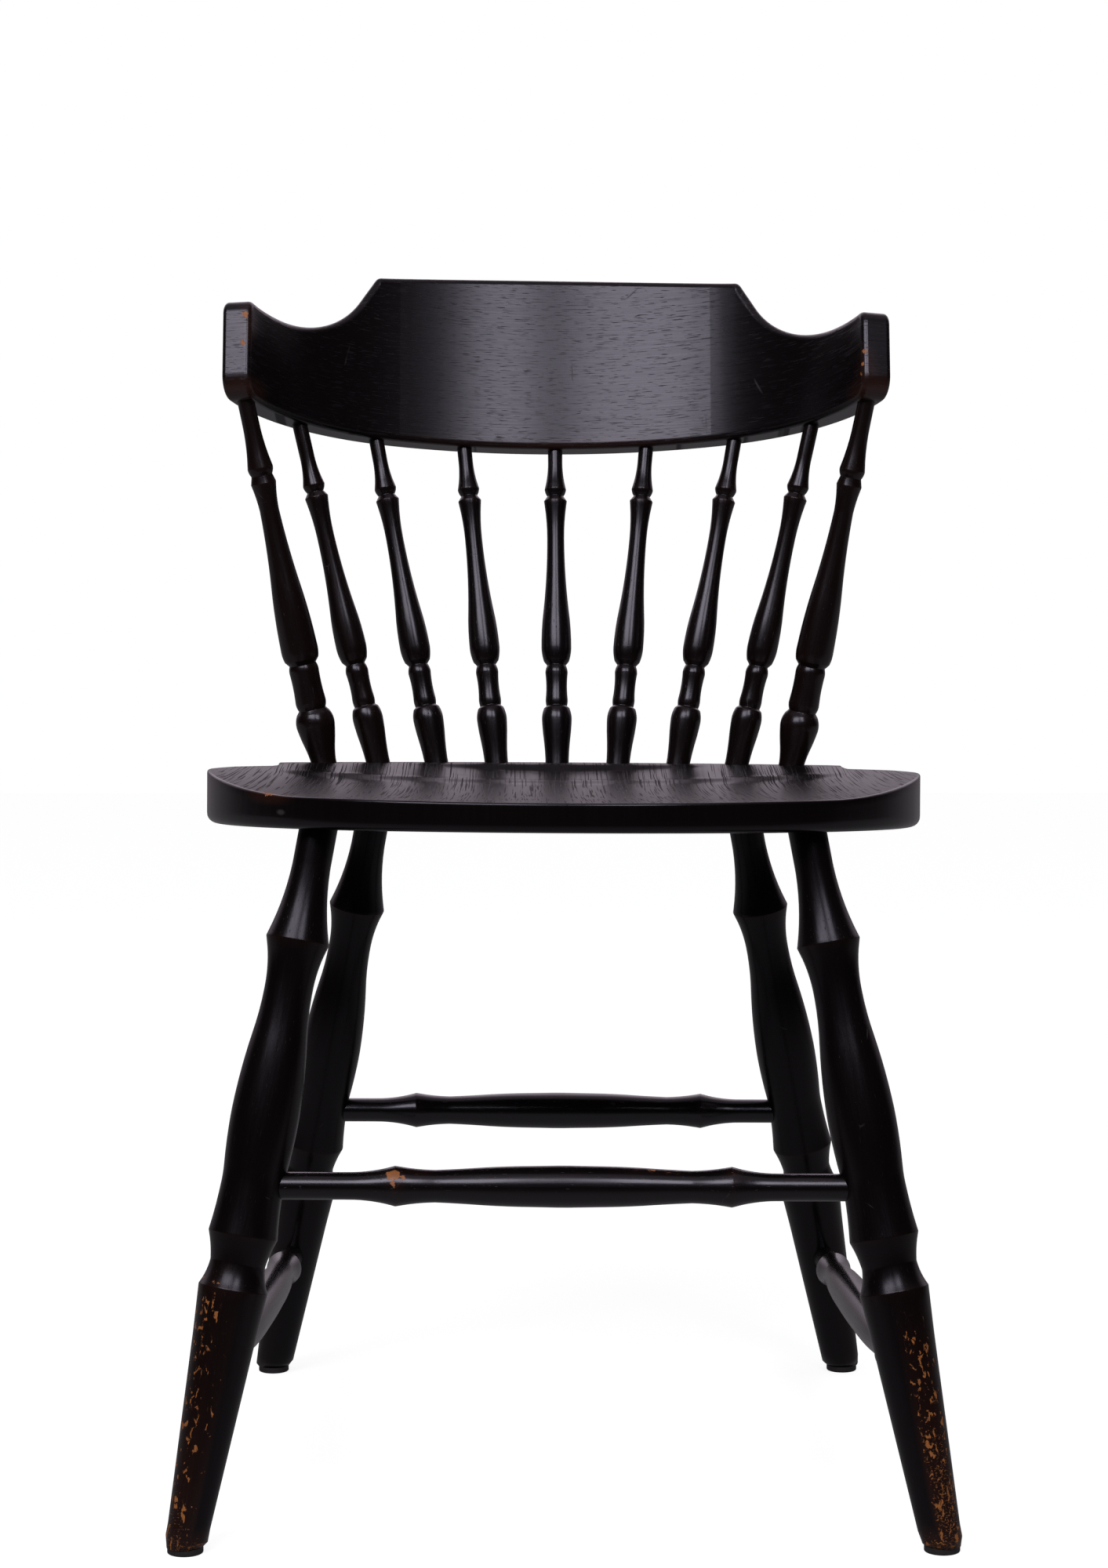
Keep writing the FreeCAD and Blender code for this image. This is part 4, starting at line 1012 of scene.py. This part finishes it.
def sampled_top(radii):
    """Heights in metres on the grid of rings and rays, with the holes bridged."""
    heights, holes = [], []
    for j, way in enumerate(WAYS):
        points = [top_point(way, radii[j], k) for k in range(SEAT_RINGS)]
        heights.append([height for height, _ in points])
        holes += [(j, k) for k, (_, fell) in enumerate(points) if fell]

    def around(j, k):
        return (heights[j - 1][k] + heights[(j + 1) % SEAT_RAYS][k] + heights[j][max(k - 1, 0)]
                + heights[j][min(k + 1, SEAT_RINGS - 1)])

    for _ in range(BRIDGING_PASSES):
        for j, k in holes:
            heights[j][k] = around(j, k) / 4
    for _ in range(SMOOTHING_PASSES):
        heights = [[(around(j, k) + 4 * heights[j][k]) / 8 if 0 < k < SEAT_RINGS - 1 else heights[j][k]
                    for k in range(SEAT_RINGS)] for j in range(SEAT_RAYS)]
    print(len(holes), "grid points bridge the spindles' holes")
    return heights


# %% The wall of the CAD seat, on each ray
OUTSIDE = 0.5
UNDER_DISH, JUST_INSIDE, UNDER_RIM = 24.0, 0.5, 3.0


def below(way, radius, drop):
    """The point drop mm below the seat's plane, radius metres from its middle."""
    at = SEAT_CENTRE + way * radius
    return seat_plane(at.x / MM, at.y / MM, drop) * MM


def wall_at(way, drop):
    """Radius and height of the wall, drop mm below the seat's plane."""
    far, near = below(way, OUTSIDE, drop), below(way, 0.0, drop)
    place = CAD_SEAT.ray_cast(far, (near - far).normalized())[0]
    return (place - SEAT_CENTRE).to_2d().length, place.z


def rim_radius(way):
    """Radius of the wall just under its upper edge."""
    inside = SEAT_CENTRE + way * (wall_at(way, UNDER_DISH)[0] - JUST_INSIDE * MM)
    rim_z = CAD_SEAT.ray_cast(Vector((inside.x, inside.y, OVERHEAD)), -UP)[0].z
    return wall_at(way, (below(way, inside.length, 0.0).z - rim_z) / MM + UNDER_RIM)[0]


# %% One cut through the seat: over the top, round the rim, down the wall
RIM_WIDTH = 2.2
RIM_STEPS = (0.2, 0.4, 0.6, 0.8, 1.0)
WALL_STEPS = (0.15, 0.3, 0.45, 0.6, 0.7, 0.78, 0.85, 0.9, 0.94, 0.97, 0.99)
BOTTOM_STEP = 1.2


def seat_cut(way, edge, top, width):
    """Radius and height of each point, from the middle's ring to the bottom."""
    flat = edge - width
    rim_z = top[-1] + (top[-1] - top[-2]) / (flat / SEAT_RINGS) * width
    rim_drop = (below(way, edge, 0.0).z - rim_z + width) / MM
    cut = [(flat * (k + 1) / SEAT_RINGS, z) for k, z in enumerate(top)]
    for t in RIM_STEPS:
        cut.append((flat + width * (1 - (1 - t) ** 2), top[-1] * (1 - t) ** 2
                    + 2 * t * (1 - t) * rim_z + t * t * (rim_z - width)))
    for t in WALL_STEPS:
        cut.append(wall_at(way, rim_drop * (1 - t) + SEAT_THICKNESS * t))
    last = cut[-1][0] - BOTTOM_STEP * MM
    cut.append((last, below(way, last, SEAT_THICKNESS).z))
    return cut


# %% The seat's own mesh
def eased_seat(width, finish):
    """The CAD seat resampled on a fine grid, with its rim rounded over width."""
    edge = [rim_radius(way) for way in WAYS]
    tops = sampled_top([r - width for r in edge])
    verts, on_top = [], []
    for j, way in enumerate(WAYS):
        cut = seat_cut(way, edge[j], tops[j], width)
        verts += [(SEAT_CENTRE.x + way.x * r, SEAT_CENTRE.y + way.y * r, z) for r, z in cut]
        on_top += [1.0 if k < SEAT_RINGS else 0.0 for k in range(len(cut))]
    rows = len(verts) // SEAT_RAYS
    verts += [(SEAT_CENTRE.x, SEAT_CENTRE.y, sum(top[0] for top in tops) / SEAT_RAYS),
              below(WAYS[0], 0.0, SEAT_THICKNESS)[:]]
    on_top += [1.0, 0.0]
    faces = []
    for j in range(SEAT_RAYS):
        a, b = j * rows, (j + 1) % SEAT_RAYS * rows
        faces += [(a + k, a + k + 1, b + k + 1, b + k) for k in range(rows - 1)]
        faces += [(len(verts) - 2, a, b), (len(verts) - 1, b + rows - 1, a + rows - 1)]
    mesh = bpy.data.meshes.new("seat_eased")
    mesh.from_pydata(verts, [], faces)
    mesh.attributes.new("on_top", "FLOAT", "POINT").data.foreach_set("value", on_top)
    mesh.materials.append(finish)
    for face in mesh.polygons:
        face.use_smooth = True
    return new_object("seat_eased", mesh)


stand_in(eased_seat(RIM_WIDTH * MM, seat_finish), "seat")

# %% [markdown]
# ## Glides
# Each foot stands on a small round nail-on glide of dark plastic, scuffed
# underneath. The CAD shape is right, so it only needs its finish.

# %% Glide finish
SPECKLES = 900.0
DARK_PLASTIC, SCUFFED_PLASTIC = (0.010, 0.009, 0.009, 1.0), (0.030, 0.026, 0.024, 1.0)
SMOOTH_PLASTIC, DULL_PLASTIC = 0.45, 0.7

glide_finish, tree, shader = start_finish("glide_finish", specular=0.4)
speckle = noise(tree, object_place(tree), scale=SPECKLES, detail=3.0)
tint = add(tree, "ShaderNodeMix", data_type="RGBA", inputs={
    0: speckle, 6: DARK_PLASTIC, 7: SCUFFED_PLASTIC}).outputs[2]
dull = ramp(tree, speckle, 0.0, 1.0, SMOOTH_PLASTIC, DULL_PLASTIC, smooth=False)
end_finish(tree, shader, tint, dull, speckle, relief=0.0001, strength=0.4)
for end in ("front", "rear"):
    for side in SIDES.values():
        paint("glide_%s_%s" % (end, side), glide_finish)

# %% [markdown]
# ## Studio
# The photograph shows the chair cut out on pure white, lit by two large soft
# boxes in front, above eye level. So the floor and the world are white for
# the camera only. What the lacquer mirrors is another picture: a dark room in
# front and at the sides, which keeps the black deep, a sweep behind the chair
# that is dim near the floor and brightens upwards, and a dim glow overhead.
# The sweep gives the seat its pale sheen and the legs their light rims. The
# floor is mirrored as a dim grey near the chair, and keeps a faint shadow.


# %% Helpers for the floor and the world
def grey(value):
    return (value, value, value, 1.0)


def glowing(tree, kind, colour, strength):
    return add(tree, kind, inputs={"Color": colour, "Strength": strength}).outputs[0]


def mixed(tree, amount, first, second):
    """The first shader where amount is 0, the second where it is 1."""
    return add(tree, "ShaderNodeMixShader", inputs={0: amount, 1: first, 2: second}).outputs[0]


# %% Floor
FLOOR_HALF = 6.0
FLOOR_GREY, FLOOR_GLOW, FLOOR_DIM = 0.45, 0.83, 0.35
FAR_FRONT, NEAR_FRONT, FAR_MIRRORED, NEAR_MIRRORED = -1.2, -0.3, 0.03, 0.20
MIRRORED_FLOOR = (1.0, 0.95, 1.0, 1.0)


def build_floor():
    size = FLOOR_HALF
    mesh = bpy.data.meshes.new("floor")
    mesh.from_pydata([(-size, -size, 0), (size, -size, 0), (size, size, 0), (-size, size, 0)],
                     [], [(0, 1, 2, 3)])
    floor = new_object("floor", mesh)
    material = bpy.data.materials.new("floor_paper")
    material.use_nodes = True
    tree = material.node_tree
    tree.nodes.clear()
    path = add(tree, "ShaderNodeLightPath").outputs
    lit = add(tree, "ShaderNodeBsdfDiffuse", inputs={"Color": grey(FLOOR_GREY)}).outputs[0]
    glow = glowing(tree, "ShaderNodeEmission", grey(1.0), FLOOR_GLOW)
    seen = add(tree, "ShaderNodeAddShader", inputs={0: lit, 1: glow}).outputs[0]
    dim = add(tree, "ShaderNodeBsdfDiffuse", inputs={"Color": grey(FLOOR_DIM)}).outputs[0]
    mirrored = glowing(tree, "ShaderNodeEmission", MIRRORED_FLOOR, ramp(
        tree, part(tree, object_place(tree), 1), FAR_FRONT, NEAR_FRONT,
        FAR_MIRRORED, NEAR_MIRRORED))
    other = mixed(tree, path["Is Glossy Ray"], dim, mirrored)
    add(tree, "ShaderNodeOutputMaterial", inputs={
        "Surface": mixed(tree, path["Is Camera Ray"], other, seen)})
    mesh.materials.append(material)


build_floor()
print("floor", 2 * FLOOR_HALF, "m square")

# %% World: white for the camera, and a sweep behind for reflections
SWEEP_START, SWEEP_END, SWEEP_DARK, SWEEP_BRIGHT = 0.25, 0.85, 0.015, 1.20
HORIZON, RAISED, HORIZON_SHARE = 0.02, 0.45, 0.16
OVERHEAD_START, OVERHEAD_GLOW = 0.55, 0.30
MIRRORED_SWEEP = (1.0, 0.86, 0.98, 1.0)
SOFT_LIGHT = 0.34


def build_world():
    world = bpy.data.worlds.new("studio")
    world.use_nodes = True
    tree = world.node_tree
    tree.nodes.clear()
    path = add(tree, "ShaderNodeLightPath").outputs
    way = add(tree, "ShaderNodeTexCoord").outputs["Generated"]
    back, up = part(tree, way, 1), part(tree, way, 2)
    behind = times(tree, ramp(tree, back, SWEEP_START, SWEEP_END, SWEEP_DARK, SWEEP_BRIGHT),
                  ramp(tree, up, HORIZON, RAISED, HORIZON_SHARE, 1.0))
    above = ramp(tree, up, OVERHEAD_START, 1.0, 0.0, OVERHEAD_GLOW)
    mirrored = glowing(tree, "ShaderNodeBackground", MIRRORED_SWEEP,
                       larger(tree, behind, above))
    soft = glowing(tree, "ShaderNodeBackground", grey(1.0), SOFT_LIGHT)
    white = glowing(tree, "ShaderNodeBackground", grey(1.0), 1.0)
    lighting = mixed(tree, path["Is Glossy Ray"], soft, mirrored)
    shown = larger(tree, path["Is Camera Ray"], path["Is Transmission Ray"])
    add(tree, "ShaderNodeOutputWorld", inputs={"Surface": mixed(tree, shown, lighting, white)})
    bpy.context.scene.world = world
    print("world", world.name, "with", len(tree.nodes), "nodes")


build_world()


# %% Soft boxes
LAMP_COLOUR = (0.92, 0.89, 1.0)
LAMP_TARGET = Vector((0.0, 0.1, 0.6))


def soft_box(name, azimuth, elevation, distance, width, height, power):
    """A rectangular lamp that looks at the chair; azimuth grows to the left."""
    light = bpy.data.lights.new(name, "AREA")
    light.shape = "RECTANGLE"
    light.size = width
    light.size_y = height
    light.energy = power
    light.color = LAMP_COLOUR
    lamp = new_object(name, light)
    a, e = math.radians(azimuth), math.radians(elevation)
    away = Vector((-math.sin(a) * math.cos(e), -math.cos(a) * math.cos(e), math.sin(e)))
    lamp.location = LAMP_TARGET + away * distance
    lamp.rotation_euler = away.to_track_quat("Z", "Y").to_euler()
    print("%s: radiance %.2f" % (name, power / (math.pi * width * height)))


soft_box("soft_box_left", azimuth=24.0, elevation=33.0, distance=2.5, width=1.5, height=0.9, power=27.0)
soft_box("soft_box_right", azimuth=-15.0, elevation=33.0, distance=2.5, width=0.7, height=0.9, power=13.0)

# %% [markdown]
# ## Camera
# The photograph was taken with a long lens from a little over the seat,
# straight on. The viewpoint was worked out from the feet, the seat's rim and
# the equal turnings of the spindles.

# %% Camera at the photograph's viewpoint
LOOK_DOWN, LOOK_RIGHT = 3.90, 0.40
camera_data = bpy.data.cameras.new("camera")
camera_data.lens = 79.2
camera_data.sensor_width = 36.0
camera = new_object("camera", camera_data)
camera.location = (-0.0195, -2.1942, 0.580)
camera.rotation_euler = (math.radians(90.0 - LOOK_DOWN), 0.0, math.radians(-LOOK_RIGHT))
bpy.context.scene.camera = camera
bpy.context.scene.view_settings.view_transform = "Standard"
print("camera lens", camera_data.lens, "mm")
